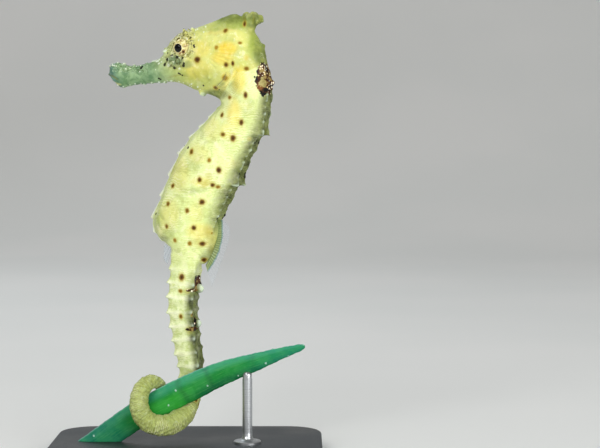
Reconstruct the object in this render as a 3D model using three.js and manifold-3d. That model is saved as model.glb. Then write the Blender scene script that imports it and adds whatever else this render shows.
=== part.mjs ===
// A yellow seahorse holding a blade of sea grass with its tail, on a plain display stand.
// Millimetres, +Z up. The seahorse faces -X; its left side is towards -Y.
// The origin is on the floor under the middle of the stand's base.

import * as THREE from "three";
import { mergeVertices } from "three/addons/utils/BufferGeometryUtils.js";
import Module from "manifold-3d";

const wasm = await Module();
wasm.setup();

// Stand
const BASE_LENGTH = 60;
const BASE_DEPTH = 40;
const BASE_HEIGHT = 4;
const BASE_CORNER = 8;
const BASE_BEVEL = 0.6;
const ROD_X = 13.5;
const ROD_RADIUS = 1.1;
const ROD_INTO_LEAF = 1.4;
const FLANGE_RADIUS = 3;
const FLANGE_HEIGHT = 0.8;

// The gap kept between neighbouring pieces
const GAP = 0.3;

// The animal's plane of symmetry stands upright and is turned a little about the vertical.
const TURN = THREE.MathUtils.degToRad(18);
const SIDEWAYS = new THREE.Vector3(Math.sin(TURN), Math.cos(TURN), 0);
const BACKWARD = new THREE.Vector3(Math.cos(TURN), -Math.sin(TURN), 0);
const UP = new THREE.Vector3(0, 0, 1);

// Neck and trunk: belly keel (x, z), back ridge (x, z) and half the width, at each bony ring
const TRUNK_RINGS = [
  { belly: [8.8, 80.6], back: [16.6, 90], half: 3.6 },
  { belly: [7.8, 79.3], back: [17.6, 88.3], half: 3.8 },
  { belly: [8.0, 78.6], back: [18.5, 83.2], half: 4 },
  { belly: [7.3, 77.6], back: [18.4, 79.7], half: 4 },
  { belly: [5.3, 75.4], back: [17.9, 76.3], half: 4.1 },
  { belly: [3.1, 73.2], back: [16.7, 72.4], half: 4.3 },
  { belly: [0.8, 70.7], back: [14.8, 68.5], half: 4.5 },
  { belly: [-1.6, 67], back: [13.1, 65.2], half: 4.8 },
  { belly: [-3.8, 62.3], back: [11.4, 61.4], half: 5 },
  { belly: [-5.7, 57.7], back: [9.4, 57.6], half: 5 },
  { belly: [-7.4, 52.9], back: [7.8, 54.1], half: 4.8 },
  { belly: [-6.5, 49.8], back: [6.6, 51.2], half: 4.3 },
  { belly: [-4.8, 48.2], back: [6, 48], half: 3.7 },
  { belly: [-3.1, 46.7], back: [4.4, 45.6], half: 3.3 },
];
const NECK_RINGS = 4;
// Half of the seven-sided section, from the middle of the back to the keel (1 is the full half size)
const TRUNK_SECTION = [
  [0.92, 0],
  [1, 0.42],
  [0.52, 0.74],
  [0.06, 1],
  [-0.4, 0.88],
  [-0.74, 0.6],
  [-0.9, 0.27],
  [-1, 0],
];
const TRUNK_STEPS = 4;
const TRUNK_KNOB = 0.3;
const TRUNK_GROOVE = 0.08;
// Share of a ring over which its crest falls away to each side
const CREST_WIDTH = 0.3;
// The knobs fade out over the first rings, under the head
const SMOOTH_RINGS = 1.2;
// Two rings carry a pair of long spines on the back, which droop
const LONG_SPINES = { 5: 1.15, 8: 0.95 };
const SPINE_DROOP = 0.6;

// Tail: centre line, half the depth against the distance along it, and ring lengths
const TAIL_LINE = [
  [0.3, -0.1, 45.3],
  [0, 0, 42.1],
  [-0.5, 0, 37.7],
  [-0.7, 0.2, 33.6],
  [-0.35, 0.6, 29.6],
  [0.2, 1.1, 25.4],
  [0.8, 1.8, 21.6],
  [1, 2.3, 18.6],
  [0.9, 2.2, 15.9],
  [0.6, 1.7, 13],
  [-0.4, -0.3, 10],
  [-3, -3.2, 8.2],
  [-6.2, -4.6, 8.3],
  [-8.6, -4.9, 9.6],
  [-9.9, -4.7, 11.9],
  [-10.1, -4.2, 14.2],
  [-9.4, -3.2, 16.3],
  [-7.9, -1.5, 17.4],
  [-6.3, 0.3, 16.9],
  [-5.4, 1.7, 15.4],
  [-5.4, 2.4, 13.7],
  [-6.4, 2.5, 12.4],
  [-7.6, 2.2, 11.9],
  [-8.6, 1.8, 12.2],
];
const TAIL_TAPER = [
  [0, 3.3],
  [3, 3],
  [18, 2.6],
  [26, 2.35],
  [36, 2.1],
  [50, 2.1],
  [54, 1.85],
  [60, 1.25],
  [68, 0.35],
];
const TAIL_RINGS = 35;
const FIRST_RING = 3.05;
// The rings are evenly long down to this one, then shrink
const EVEN_RINGS = 9;
const TAIL_WIDTH_TO_DEPTH = 0.94;
const COILED_RINGS = 10;
const TAIL_LENGTHS = { tail_1: 6, tail_2: 10, tail_3: 16, tail_4: TAIL_RINGS };
const STRAIGHT_STEPS = 4;
const COILED_STEPS = 2;
// Half of the four-ridged section, from the middle of the back to the middle of the belly side
const TAIL_SECTION = [
  [0.9, 0],
  [0.93, 0.78],
  [0, 0.97],
  [-0.93, 0.72],
  [-0.92, 0],
];
const TAIL_KNOB_BELLY = 0.9;
const TAIL_KNOB_BACK = 0.36;
const TAIL_GROOVE = 0.08;

// Head: x, top, underside, half the width, from the lips to the nape
const HEAD_STATIONS = [
  [-17, 86.3, 85.1, 0.7],
  [-16.6, 87.4, 84.2, 1.5],
  [-15.6, 87.8, 83.1, 1.9],
  [-14.2, 87.5, 82.2, 1.95],
  [-12.6, 87.1, 82.6, 1.75],
  [-10.1, 87.3, 83, 1.65],
  [-7.5, 87.8, 83.1, 1.7],
  [-5.9, 88.4, 83.2, 1.85],
  [-4.8, 89.5, 83.3, 2.1],
  [-3.7, 91.3, 83.4, 2.5],
  [-2.2, 93.2, 83.3, 2.95],
  [-0.4, 94.4, 82.9, 3.3],
  [1.5, 94.8, 82, 3.6],
  [3.6, 95.4, 81.2, 3.9],
  [5.7, 96.2, 80.5, 4.15],
  [7.7, 97, 79.5, 4.35],
  [9.7, 97.8, 79, 4.4],
  [11, 98, 79.6, 4.4],
  [12.5, 97.3, 81, 4.35],
  [13.8, 95.8, 82.5, 4.2],
  [15, 94.3, 83.7, 3.9],
  [16.1, 92.7, 84.8, 3.4],
  [16.9, 91.2, 85.6, 2.7],
  [17.5, 90, 86.4, 1.7],
];
const HEAD_SIDES = 16;
// The braincase narrows towards the crown from the first x to the second, by this share
const CRANIUM_FROM = -4;
const CRANIUM_TO = 8;
const CROWN_NARROWING = 0.45;
const SNOUT_END = [-5.9, 80, -5.9, 95];
const THROAT_TO_NAPE = [7.7, 79.5, 18, 88.9];

const EYE_RADIUS = 2.05;
const EYE_AT = [0.25, 90.75];
const EYE_OUT = 2.35;
const ORBIT_RADIUS = 2.7;
const ORBIT_OUT = 1.6;
// Blunt spines of the brow, snout, chin and cheek, one on each side
const HEAD_KNOBS = [
  { at: [0.35, 94.2], out: 1.5, radius: 0.5, reach: [-0.35, 0.95] },
  { at: [-4, 90.5], out: 1.15, radius: 0.45, reach: [-0.5, 0.4] },
  { at: [3.95, 81.3], out: 1, radius: 0.66, reach: [-0.2, -0.98] },
  { at: [6.8, 84.2], out: 3.6, radius: 0.6, reach: [-0.2, -0.7] },
];

// The crown: a low stalk with a ring of rounded lobes that leans back
const CROWN_LOBES = [
  { at: [14.1, 95.6], out: 0, tall: 1.9, deep: 1.55, wide: 1.5 },
  { at: [13.55, 97.2], out: 0, tall: 1.2, deep: 1, wide: 0.8 },
  { at: [15.1, 97.3], out: 0.75, tall: 1.1, deep: 0.95, wide: 0.7 },
  { at: [15.1, 97.3], out: -0.75, tall: 1.1, deep: 0.95, wide: 0.7 },
  { at: [16.25, 96.85], out: 0.35, tall: 0.95, deep: 0.95, wide: 0.75 },
  { at: [16.95, 96.35], out: 0, tall: 0.55, deep: 0.5, wide: 0.5 },
  { at: [14.1, 96.9], out: 1.05, tall: 0.9, deep: 0.75, wide: 0.6 },
  { at: [14.1, 96.9], out: -1.05, tall: 0.9, deep: 0.75, wide: 0.6 },
  { at: [16, 96.4], out: -0.75, tall: 0.85, deep: 0.75, wide: 0.65 },
  { at: [16, 96.4], out: 0.75, tall: 0.85, deep: 0.75, wide: 0.65 },
  { at: [15.3, 96.6], out: 0, tall: 1.4, deep: 1.35, wide: 1 },
];
// Flesh that fills the nape, and that carries the fin of the back
const NAPE_LOBE = { at: [14.6, 88.2], out: 0, tall: 5.2, deep: 2.7, wide: 3.3, lean: 0.15 };
const FIN_ROOT_LOBE = { at: [4.75, 48.8], out: 0, tall: 5.7, deep: 2.3, wide: 1.5, lean: -0.24 };
// The fin root stands clear of the tail, behind this line
const FIN_ROOT_FRONT = [4.1, 40, 4.1, 60];
// Two small lobes on the back of the tail
const TAIL_LOBES = [
  { at: [2.7, 38], out: 0.3, tall: 1, deep: 1.25, wide: 0.55 },
  { at: [2.3, 30.3], out: 0.3, tall: 1, deep: 1.15, wide: 0.55 },
];

// Faces round and up each small rounded part
const KNOB_FACES = [8, 6];
const LOBE_FACES = [8, 6];
const BALL_FACES = [14, 10];
const ROD_FACES = 20;

const FIN_THICKNESS = 0.5;
// Fin outlines in the plane of symmetry: the first two points are the root, inside the body
const DORSAL_FIN = [
  [3.2, 44.6],
  [5.4, 54.2],
  [8.2, 53.7],
  [9.5, 51.3],
  [9.6, 49.2],
  [8.9, 46.4],
  [7.4, 42.4],
  [5.8, 38.6],
  [4.9, 42.2],
];
const ANAL_FIN = [
  [-3.2, 49],
  [-4.9, 49.2],
  [-4.9, 46.2],
  [-5, 43.6],
  [-4.3, 43.4],
  [-3.9, 45.6],
];
const PECTORAL_FIN = [
  [8.4, 82],
  [10.6, 85.2],
  [12.8, 86],
  [13.8, 83.6],
  [12.8, 80.8],
  [10.4, 79.8],
];
const PECTORAL_OUT = 3.9;
const PECTORAL_SPLAY = 0.3;

// Blade of sea grass: centre line and half the width
const LEAF_LINE = [
  [26.2, -2.8, 25.5],
  [20.7, -2.6, 23.7],
  [15.2, -2.4, 21.9],
  [9.7, -2.1, 20.1],
  [5.3, -1.9, 18.3],
  [2, -1.8, 16.7],
  [-1.8, -1.6, 14.9],
  [-5.7, -1.2, 12.8],
  [-10.8, -0.9, 10],
  [-15.2, -0.6, 7],
  [-20, -0.3, 3.6],
  [-25.1, 0, 0.1],
];
const LEAF_TAPER = [
  [0, 0.2],
  [6, 1.25],
  [12, 2],
  [18, 2.55],
  [26, 3],
  [36, 3.05],
  [56, 2.75],
];
const LEAF_THICKNESS_TO_WIDTH = 0.3;
const LEAF_STEPS = 32;
// Places along the middle line that are tried for the seat of the rod
const LEAF_LINE_PLACES = 400;
// Lens section with a fold along the upper third of the front
const LEAF_SECTION = [
  [1, 0],
  [0.66, -0.75],
  [0.1, -1],
  [-0.7, -0.7],
  [-1, 0],
  [-0.7, 0.6],
  [0, 0.9],
  [0.72, 0.62],
];

// Returns the value at x of a line through [x, value] pairs.
function lineThrough(pairs, x) {
  const last = pairs.findIndex((pair) => pair[0] >= x);
  if (last < 1) {
    return last === 0 ? pairs[0][1] : pairs[pairs.length - 1][1];
  }
  const [x0, v0] = pairs[last - 1];
  const [x1, v1] = pairs[last];
  return v0 + ((v1 - v0) * (x - x0)) / (x1 - x0);
}

// A point of the animal: x and z as seen square on, and the distance out to its right side.
function inAnimal(x, z, out = 0) {
  const point = new THREE.Vector3(x, -x * Math.tan(TURN), z);
  return point.addScaledVector(SIDEWAYS, out);
}

// Makes a closed solid from a geometry whose faces already meet.
function solidFrom(geometry) {
  const bare = geometry.clone();
  bare.deleteAttribute("normal");
  bare.deleteAttribute("uv");
  const merged = mergeVertices(bare, 1e-4);
  return new wasm.Manifold(
    new wasm.Mesh({
      numProp: 3,
      vertProperties: merged.getAttribute("position").array,
      triVerts: new Uint32Array(merged.index.array),
    }),
  );
}

// Bends a cylinder so that corner(t, k) is the k-th corner of its section at t (0 to 1).
function loft(steps, sides, corner, middle) {
  const geometry = new THREE.CylinderGeometry(1, 1, 1, sides, steps);
  const position = geometry.getAttribute("position");
  for (let i = 0; i < position.count; i += 1) {
    const t = 0.5 - position.getY(i);
    const onAxis = Math.hypot(position.getX(i), position.getZ(i)) < 0.5;
    const angle = Math.atan2(position.getX(i), position.getZ(i));
    const k = Math.round((angle / (2 * Math.PI)) * sides + sides) % sides;
    const point = onAxis ? middle(t) : corner(t, k);
    position.setXYZ(i, point.x, point.y, point.z);
  }
  return solidFrom(geometry);
}

// Mirrors half a section: corner k of a closed section of the given number of sides.
function mirrored(half, k) {
  const sides = 2 * (half.length - 1);
  const [depth, width] = k < half.length ? half[k] : half[sides - k];
  return [depth, k < half.length ? width : -width];
}

// 1 on the crest of a bony ring, 0 between rings.
function crest(ring) {
  const off = Math.abs(ring - Math.round(ring));
  return Math.max(0, 1 - off / CREST_WIDTH);
}

// Plane across the animal through two points of its plane of symmetry.
function planeThrough([x0, z0, x1, z1]) {
  const from = inAnimal(x0, z0);
  const along = inAnimal(x1, z1).sub(from);
  const normal = along.cross(SIDEWAYS).normalize();
  return { normal, offset: normal.dot(from) };
}

function keep(solid, plane, side) {
  const n = plane.normal.clone().multiplyScalar(side);
  return solid.trimByPlane([n.x, n.y, n.z], side * plane.offset + GAP / 2);
}

function trunkSolid(grow = 0) {
  const bellyLine = new THREE.CatmullRomCurve3(
    TRUNK_RINGS.map((ring) => inAnimal(...ring.belly)),
  );
  const backLine = new THREE.CatmullRomCurve3(
    TRUNK_RINGS.map((ring) => inAnimal(...ring.back)),
  );
  const count = TRUNK_RINGS.length - 1;
  const halves = TRUNK_RINGS.map((ring, i) => [i, ring.half]);
  const sides = 2 * (TRUNK_SECTION.length - 1);
  const middle = (t) => bellyLine.getPoint(t).lerp(backLine.getPoint(t), 0.5);
  const corner = (t, k) => {
    const ring = t * count;
    const towardsBack = backLine.getPoint(t).sub(bellyLine.getPoint(t));
    const halfDepth = towardsBack.length() / 2;
    towardsBack.normalize();
    const [depth, width] = mirrored(TRUNK_SECTION, k);
    const onRidge = k % 2 === 1;
    const onBack = k === 1 || k === sides - 1;
    const fade = Math.min(1, Math.max(0, ring - SMOOTH_RINGS));
    const longSpine = (onBack && LONG_SPINES[Math.round(ring)]) || 0;
    const knob = Math.max(longSpine, TRUNK_KNOB);
    const relief = onRidge
      ? knob * crest(ring) * fade
      : -TRUNK_GROOVE * (1 - crest(ring)) * fade;
    const across = new THREE.Vector3()
      .addScaledVector(towardsBack, depth * halfDepth)
      .addScaledVector(SIDEWAYS, width * lineThrough(halves, ring));
    const outwards = across.clone().normalize();
    return middle(t)
      .add(across)
      .addScaledVector(outwards, relief + grow)
      .addScaledVector(UP, -SPINE_DROOP * longSpine * crest(ring));
  };
  return loft(count * TRUNK_STEPS, sides, corner, middle);
}

// Tail frames: places along the centre line, each with its directions to the back and to the side
function tailFrames(steps) {
  const line = new THREE.CatmullRomCurve3(
    TAIL_LINE.map((point) => new THREE.Vector3(...point)),
  );
  line.arcLengthDivisions = 800;
  const length = line.getLength();
  const shrinkingRings = TAIL_RINGS - EVEN_RINGS;
  const shrinkingLength = length - EVEN_RINGS * FIRST_RING;
  const shrink = (FIRST_RING - shrinkingLength / shrinkingRings) / shrinkingRings;
  const back = BACKWARD.clone();
  return Array.from({ length: steps + 1 }, (_, i) => {
    const ring = (i / steps) * TAIL_RINGS;
    const shrinking = Math.max(0, ring - EVEN_RINGS);
    const distance = Math.min(length, ring * FIRST_RING - shrink * shrinking ** 2);
    const at = line.getPointAt(distance / length);
    const ahead = line.getTangentAt(distance / length);
    back.addScaledVector(ahead, -back.dot(ahead)).normalize();
    const side = back.clone().cross(ahead);
    return { ring, at, back: back.clone(), side, half: lineThrough(TAIL_TAPER, distance) };
  });
}

function tailSolid(firstRing, lastRing, stepsPerRing) {
  const frames = tailFrames(TAIL_RINGS * stepsPerRing);
  const first = firstRing * stepsPerRing;
  const steps = (lastRing - firstRing) * stepsPerRing;
  const frameAt = (t) => frames[first + Math.round(t * steps)];
  const sides = 2 * (TAIL_SECTION.length - 1);
  const corner = (t, k) => {
    const { ring, at, back, side, half } = frameAt(t);
    const [depth, width] = mirrored(TAIL_SECTION, k);
    const size = half / TAIL_TAPER[0][1];
    const knob = depth > 0 || ring > COILED_RINGS ? TAIL_KNOB_BACK : TAIL_KNOB_BELLY;
    const onRidge = k % 2 === 1;
    const high = crest(ring);
    const relief = size * (onRidge ? knob * high : -TAIL_GROOVE * (1 - high));
    const across = new THREE.Vector3()
      .addScaledVector(back, depth * half)
      .addScaledVector(side, width * half * TAIL_WIDTH_TO_DEPTH);
    const outwards = across.clone().normalize();
    return at.clone().add(across).addScaledVector(outwards, relief);
  };
  return loft(steps, sides, corner, (t) => frameAt(t).at);
}

function headSolid(grow = 0) {
  const tops = new THREE.CatmullRomCurve3(
    HEAD_STATIONS.map(([x, top]) => new THREE.Vector3(x, 0, top)),
  );
  const undersides = new THREE.CatmullRomCurve3(
    HEAD_STATIONS.map(([x, , under]) => new THREE.Vector3(x, 0, under)),
  );
  const count = HEAD_STATIONS.length - 1;
  const halves = HEAD_STATIONS.map((station, i) => [i, station[3]]);
  const middle = (t) => {
    const top = tops.getPoint(t);
    return inAnimal(top.x, (top.z + undersides.getPoint(t).z) / 2);
  };
  const corner = (t, k) => {
    const angle = (2 * Math.PI * k) / HEAD_SIDES;
    const top = tops.getPoint(t).z;
    const under = undersides.getPoint(t).z;
    const height = Math.cos(angle);
    const cranium = THREE.MathUtils.smoothstep(tops.getPoint(t).x, CRANIUM_FROM, CRANIUM_TO);
    const narrowing = 1 - CROWN_NARROWING * cranium * Math.max(0, height) ** 2;
    const half = lineThrough(halves, t * count);
    const out = half * Math.sin(angle) * narrowing;
    const across = new THREE.Vector3()
      .addScaledVector(UP, (height * (top - under)) / 2)
      .addScaledVector(SIDEWAYS, out);
    const outwards = across.clone().normalize();
    return middle(t).add(across).addScaledVector(outwards, grow);
  };
  return loft(count, HEAD_SIDES, corner, middle);
}

// A blunt knob: a small sphere stretched along a direction of the plane of symmetry.
function knob({ at, out, radius, reach }, side) {
  const geometry = new THREE.SphereGeometry(radius, ...KNOB_FACES);
  const [reachX, reachZ] = reach;
  geometry.rotateX(Math.PI / 2);
  geometry.scale(1, 1, Math.hypot(reachX, reachZ) / radius);
  geometry.rotateY(Math.atan2(reachX, reachZ));
  const centre = inAnimal(...at, side * out);
  geometry.translate(centre.x, centre.y, centre.z);
  return solidFrom(geometry);
}

// A rounded lobe of flesh of the given half sizes, leaning forwards.
function lobe({ at, out, tall, deep, wide, lean = 0 }, grow = 0) {
  const geometry = new THREE.SphereGeometry(1, ...LOBE_FACES);
  geometry.scale(deep + grow, tall + grow, wide + grow);
  const upwards = UP.clone().multiplyScalar(Math.cos(lean)).addScaledVector(BACKWARD, -Math.sin(lean));
  const backwards = BACKWARD.clone().multiplyScalar(Math.cos(lean)).addScaledVector(UP, Math.sin(lean));
  const turned = new THREE.Matrix4().makeBasis(backwards, upwards, SIDEWAYS.clone().negate());
  geometry.applyMatrix4(turned);
  const centre = inAnimal(...at, out);
  geometry.translate(centre.x, centre.y, centre.z);
  return solidFrom(geometry);
}

function ball(radius, centre) {
  const geometry = new THREE.SphereGeometry(radius, ...BALL_FACES);
  geometry.translate(centre.x, centre.y, centre.z);
  return solidFrom(geometry);
}

function eyeCentre(side) {
  return inAnimal(...EYE_AT, side * EYE_OUT);
}

// The head with its orbits, blunt spines and nape, and the two sockets of the eyes
function fullHead() {
  let head = headSolid().add(lobe(NAPE_LOBE));
  for (const side of [-1, 1]) {
    head = head.add(ball(ORBIT_RADIUS, inAnimal(...EYE_AT, side * ORBIT_OUT)));
    for (const spine of HEAD_KNOBS) {
      head = head.add(knob(spine, side));
    }
  }
  for (const side of [-1, 1]) {
    head = head.subtract(ball(EYE_RADIUS + GAP, eyeCentre(side)));
  }
  return head;
}

function joined(solids) {
  return solids.reduce((whole, solid) => whole.add(solid));
}

function finRoot(grow = 0) {
  return keep(lobe(FIN_ROOT_LOBE, grow), planeThrough(FIN_ROOT_FRONT), -1);
}

// Flat fin of the given outline in the plane of symmetry, out at one side of it.
function finPlate(outline, out = 0, splay = 0) {
  const shape = new THREE.Shape();
  shape.moveTo(...outline[0]);
  shape.splineThru(outline.slice(1).map((point) => new THREE.Vector2(...point)));
  shape.closePath();
  const geometry = new THREE.ExtrudeGeometry(shape, {
    depth: FIN_THICKNESS,
    bevelEnabled: false,
    curveSegments: 8,
  });
  const position = geometry.getAttribute("position");
  for (let i = 0; i < position.count; i += 1) {
    const x = position.getX(i);
    const away = out + Math.sign(out) * splay * (x - outline[0][0]);
    const point = inAnimal(x, position.getY(i), away + FIN_THICKNESS / 2 - position.getZ(i));
    position.setXYZ(i, point.x, point.y, point.z);
  }
  return solidFrom(geometry);
}

function leafSolid(grow = 0) {
  const line = new THREE.CatmullRomCurve3(
    LEAF_LINE.map((point) => new THREE.Vector3(...point)),
  );
  const length = line.getLength();
  const front = new THREE.Vector3(0, 1, 0);
  const frameAt = (t) => {
    const ahead = line.getTangentAt(t);
    const wide = front.clone().cross(ahead).normalize();
    return { at: line.getPointAt(t), wide, half: lineThrough(LEAF_TAPER, t * length) };
  };
  const corner = (t, k) => {
    const { at, wide, half } = frameAt(t);
    const [width, depth] = LEAF_SECTION[k];
    return at
      .addScaledVector(wide, width * (half + grow))
      .addScaledVector(front, depth * (half * LEAF_THICKNESS_TO_WIDTH + grow));
  };
  return loft(LEAF_STEPS, LEAF_SECTION.length, corner, (t) => frameAt(t).at);
}

// The place on the middle line of the leaf at the given x.
function leafPlaceAt(x) {
  const line = new THREE.CatmullRomCurve3(
    LEAF_LINE.map((point) => new THREE.Vector3(...point)),
  );
  const away = (point) => Math.abs(point.x - x);
  const places = line.getPoints(LEAF_LINE_PLACES);
  return places.reduce((best, point) => (away(point) < away(best) ? point : best));
}

function baseSolid() {
  const shape = new THREE.Shape();
  const halfLength = BASE_LENGTH / 2 - BASE_BEVEL;
  const halfDepth = BASE_DEPTH / 2 - BASE_BEVEL;
  const corner = BASE_CORNER - BASE_BEVEL;
  shape.absarc(halfLength - corner, halfDepth - corner, corner, 0, Math.PI / 2);
  shape.absarc(corner - halfLength, halfDepth - corner, corner, Math.PI / 2, Math.PI);
  shape.absarc(corner - halfLength, corner - halfDepth, corner, Math.PI, 1.5 * Math.PI);
  shape.absarc(halfLength - corner, corner - halfDepth, corner, 1.5 * Math.PI, 2 * Math.PI);
  shape.closePath();
  const geometry = new THREE.ExtrudeGeometry(shape, {
    depth: BASE_HEIGHT - 2 * BASE_BEVEL,
    bevelThickness: BASE_BEVEL,
    bevelSize: BASE_BEVEL,
    bevelSegments: 1,
    curveSegments: 6,
  });
  geometry.translate(0, 0, BASE_BEVEL);
  return solidFrom(geometry);
}

function rodSolid() {
  const held = leafPlaceAt(ROD_X);
  const foot = BASE_HEIGHT + GAP;
  const top = held.z - ROD_INTO_LEAF;
  const profile = [
    [0, foot],
    [FLANGE_RADIUS, foot],
    [FLANGE_RADIUS, foot + FLANGE_HEIGHT / 2],
    [ROD_RADIUS + FLANGE_HEIGHT / 2, foot + FLANGE_HEIGHT],
    [ROD_RADIUS, foot + 2 * FLANGE_HEIGHT],
    [ROD_RADIUS, top],
    [0, top],
  ];
  const geometry = new THREE.LatheGeometry(
    profile.map(([r, z]) => new THREE.Vector2(r, z)),
    ROD_FACES,
  );
  geometry.rotateX(Math.PI / 2);
  geometry.translate(ROD_X, held.y, 0);
  return solidFrom(geometry);
}

const model = new THREE.Group();

// Adds a solid to the model as a named mesh.
function addNode(name, solid, colour, roughness, metalness = 0) {
  const made = solid.getMesh();
  const geometry = new THREE.BufferGeometry();
  geometry.setAttribute("position", new THREE.BufferAttribute(made.vertProperties, 3));
  geometry.setIndex(new THREE.BufferAttribute(made.triVerts, 1));
  geometry.computeVertexNormals();
  const material = new THREE.MeshStandardMaterial({ color: colour, roughness, metalness });
  const mesh = new THREE.Mesh(geometry, material);
  mesh.name = name;
  model.add(mesh);
}

const SKIN = 0xdfe592;
const SNOUT_SKIN = 0x8fb583;
const FIN_SKIN = 0xc9d6b0;
const EYE_GOLD = 0xd8b45a;
const GRASS = 0x3c9040;
const GRAPHITE = 0x34373a;
const STEEL = 0xb9bcc0;

const headPlane = planeThrough(THROAT_TO_NAPE);
const snoutPlane = planeThrough(SNOUT_END);
const neckEnd = TRUNK_RINGS[NECK_RINGS];
const neckPlane = planeThrough([...neckEnd.belly, ...neckEnd.back]);

const wholeHead = fullHead();
const headBehindLips = keep(wholeHead, headPlane, 1);
addNode("snout", keep(headBehindLips, snoutPlane, 1), SNOUT_SKIN, 0.5);
addNode("head", keep(headBehindLips, snoutPlane, -1), SKIN, 0.5);
const crown = joined(CROWN_LOBES.map((part) => lobe(part)));
addNode("coronet", crown.subtract(headSolid(GAP)), SKIN, 0.5);
for (const [name, side] of [["eye_left", -1], ["eye_right", 1]]) {
  addNode(name, ball(EYE_RADIUS, eyeCentre(side)), EYE_GOLD, 0.15);
}

const body = keep(trunkSolid().add(finRoot()), headPlane, -1);
addNode("neck", keep(body, neckPlane, 1), SKIN, 0.5);
addNode("trunk", keep(body, neckPlane, -1), SKIN, 0.5);

let ringBefore = 0;
for (const [name, ring] of Object.entries(TAIL_LENGTHS)) {
  const length = tailSolid(ringBefore, ring, ring > COILED_RINGS ? COILED_STEPS : STRAIGHT_STEPS);
  const lobes = ringBefore === 0 ? TAIL_LOBES.map((part) => lobe(part)) : [];
  addNode(name, joined([length, ...lobes]), SKIN, 0.55);
  ringBefore = ring;
}

const clearOfBody = joined([trunkSolid(GAP), headSolid(GAP), finRoot(GAP), lobe(NAPE_LOBE, GAP)]);
addNode("dorsal_fin", finPlate(DORSAL_FIN).subtract(clearOfBody), FIN_SKIN, 0.4);
addNode("anal_fin", finPlate(ANAL_FIN).subtract(clearOfBody), FIN_SKIN, 0.4);
for (const [name, side] of [["pectoral_fin_left", -1], ["pectoral_fin_right", 1]]) {
  const fin = finPlate(PECTORAL_FIN, side * PECTORAL_OUT, PECTORAL_SPLAY);
  addNode(name, fin.subtract(clearOfBody), FIN_SKIN, 0.4);
}

const belowBase = { normal: UP, offset: BASE_HEIGHT + GAP / 2 };
addNode("leaf", keep(leafSolid(), belowBase, 1), GRASS, 0.45);
addNode("stand_base", baseSolid(), GRAPHITE, 0.5, 0.6);
addNode("stand_rod", rodSolid().subtract(leafSolid(GAP)), STEEL, 0.3, 1);

export default model;
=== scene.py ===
import math

import bpy
import numpy as np
from mathutils import Matrix, Vector
from mathutils.bvhtree import BVHTree


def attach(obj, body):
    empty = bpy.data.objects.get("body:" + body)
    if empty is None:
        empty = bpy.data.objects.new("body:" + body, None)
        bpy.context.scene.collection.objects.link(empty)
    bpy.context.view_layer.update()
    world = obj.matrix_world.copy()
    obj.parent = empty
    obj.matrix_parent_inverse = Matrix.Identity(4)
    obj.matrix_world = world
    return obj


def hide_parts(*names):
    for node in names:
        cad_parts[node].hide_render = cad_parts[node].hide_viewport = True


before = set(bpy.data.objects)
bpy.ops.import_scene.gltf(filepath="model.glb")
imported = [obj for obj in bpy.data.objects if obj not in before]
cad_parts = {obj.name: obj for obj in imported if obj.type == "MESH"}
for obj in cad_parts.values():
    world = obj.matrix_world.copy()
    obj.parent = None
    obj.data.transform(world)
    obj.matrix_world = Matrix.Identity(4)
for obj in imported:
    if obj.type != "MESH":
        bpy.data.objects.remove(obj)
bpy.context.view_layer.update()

FULL_TURN = 2 * math.pi
# The shapes are worked out in millimetres and brought down to metres when a piece is done.
MM = 0.001

# The animal's middle plane stands upright, turned a little about the vertical.
TURN = math.radians(18)
SIDEWAYS = np.array([math.sin(TURN), math.cos(TURN), 0.0])
BACKWARD = np.array([math.cos(TURN), -math.sin(TURN), 0.0])
UP = np.array([0.0, 0.0, 1.0])

# Where the model is looked at from: the middle of the picture, the distance and the height of the eye.
LOOK_AT = np.array([25.08, 0.0, 52.2])
LOOK_DISTANCE = 366.7
LOOK_DOWN = math.radians(3)
LENS = 100
EYE_POINT = LOOK_AT + LOOK_DISTANCE * np.array([0.0, -math.cos(LOOK_DOWN), math.sin(LOOK_DOWN)])

SKIN_GRAIN = 0.233

# ---------------------------------------------------------------- body lines

# Neck and trunk: belly keel, back ridge and half the width at each bony ring
BELLY_LINE = [
    (8.8, 80.6), (7.8, 79.3), (8.0, 78.6), (7.3, 77.6), (5.3, 75.4), (3.1, 73.2), (0.8, 70.7),
    (-1.6, 67.0), (-3.8, 62.3), (-5.7, 57.7), (-7.4, 52.9), (-6.5, 49.8), (-4.8, 48.2), (-3.1, 46.9),
]
BACK_LINE = [
    (16.6, 90.0), (17.6, 88.3), (18.5, 83.2), (18.4, 79.7), (17.9, 76.3), (16.7, 72.4), (14.8, 68.5),
    (13.1, 65.2), (11.4, 61.4), (9.4, 57.6), (7.8, 54.1), (6.6, 51.2), (6.0, 48.0), (4.4, 44.8),
]
TRUNK_HALF_WIDTHS = [3.6, 3.8, 4.0, 4.0, 4.1, 4.3, 4.5, 4.8, 5.0, 5.0, 4.8, 4.3, 3.7, 3.3]
# Half of the seven-sided section, from the middle of the back to the keel
TRUNK_SECTION = [
    (0.92, 0.0), (1.0, 0.42), (0.52, 0.74), (0.06, 1.0),
    (-0.4, 0.88), (-0.74, 0.6), (-0.9, 0.27), (-1.0, 0.0),
]
# Long drooping spines of the back: ring and length
LONG_SPINES = {5: 1.15, 8: 0.95}

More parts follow.
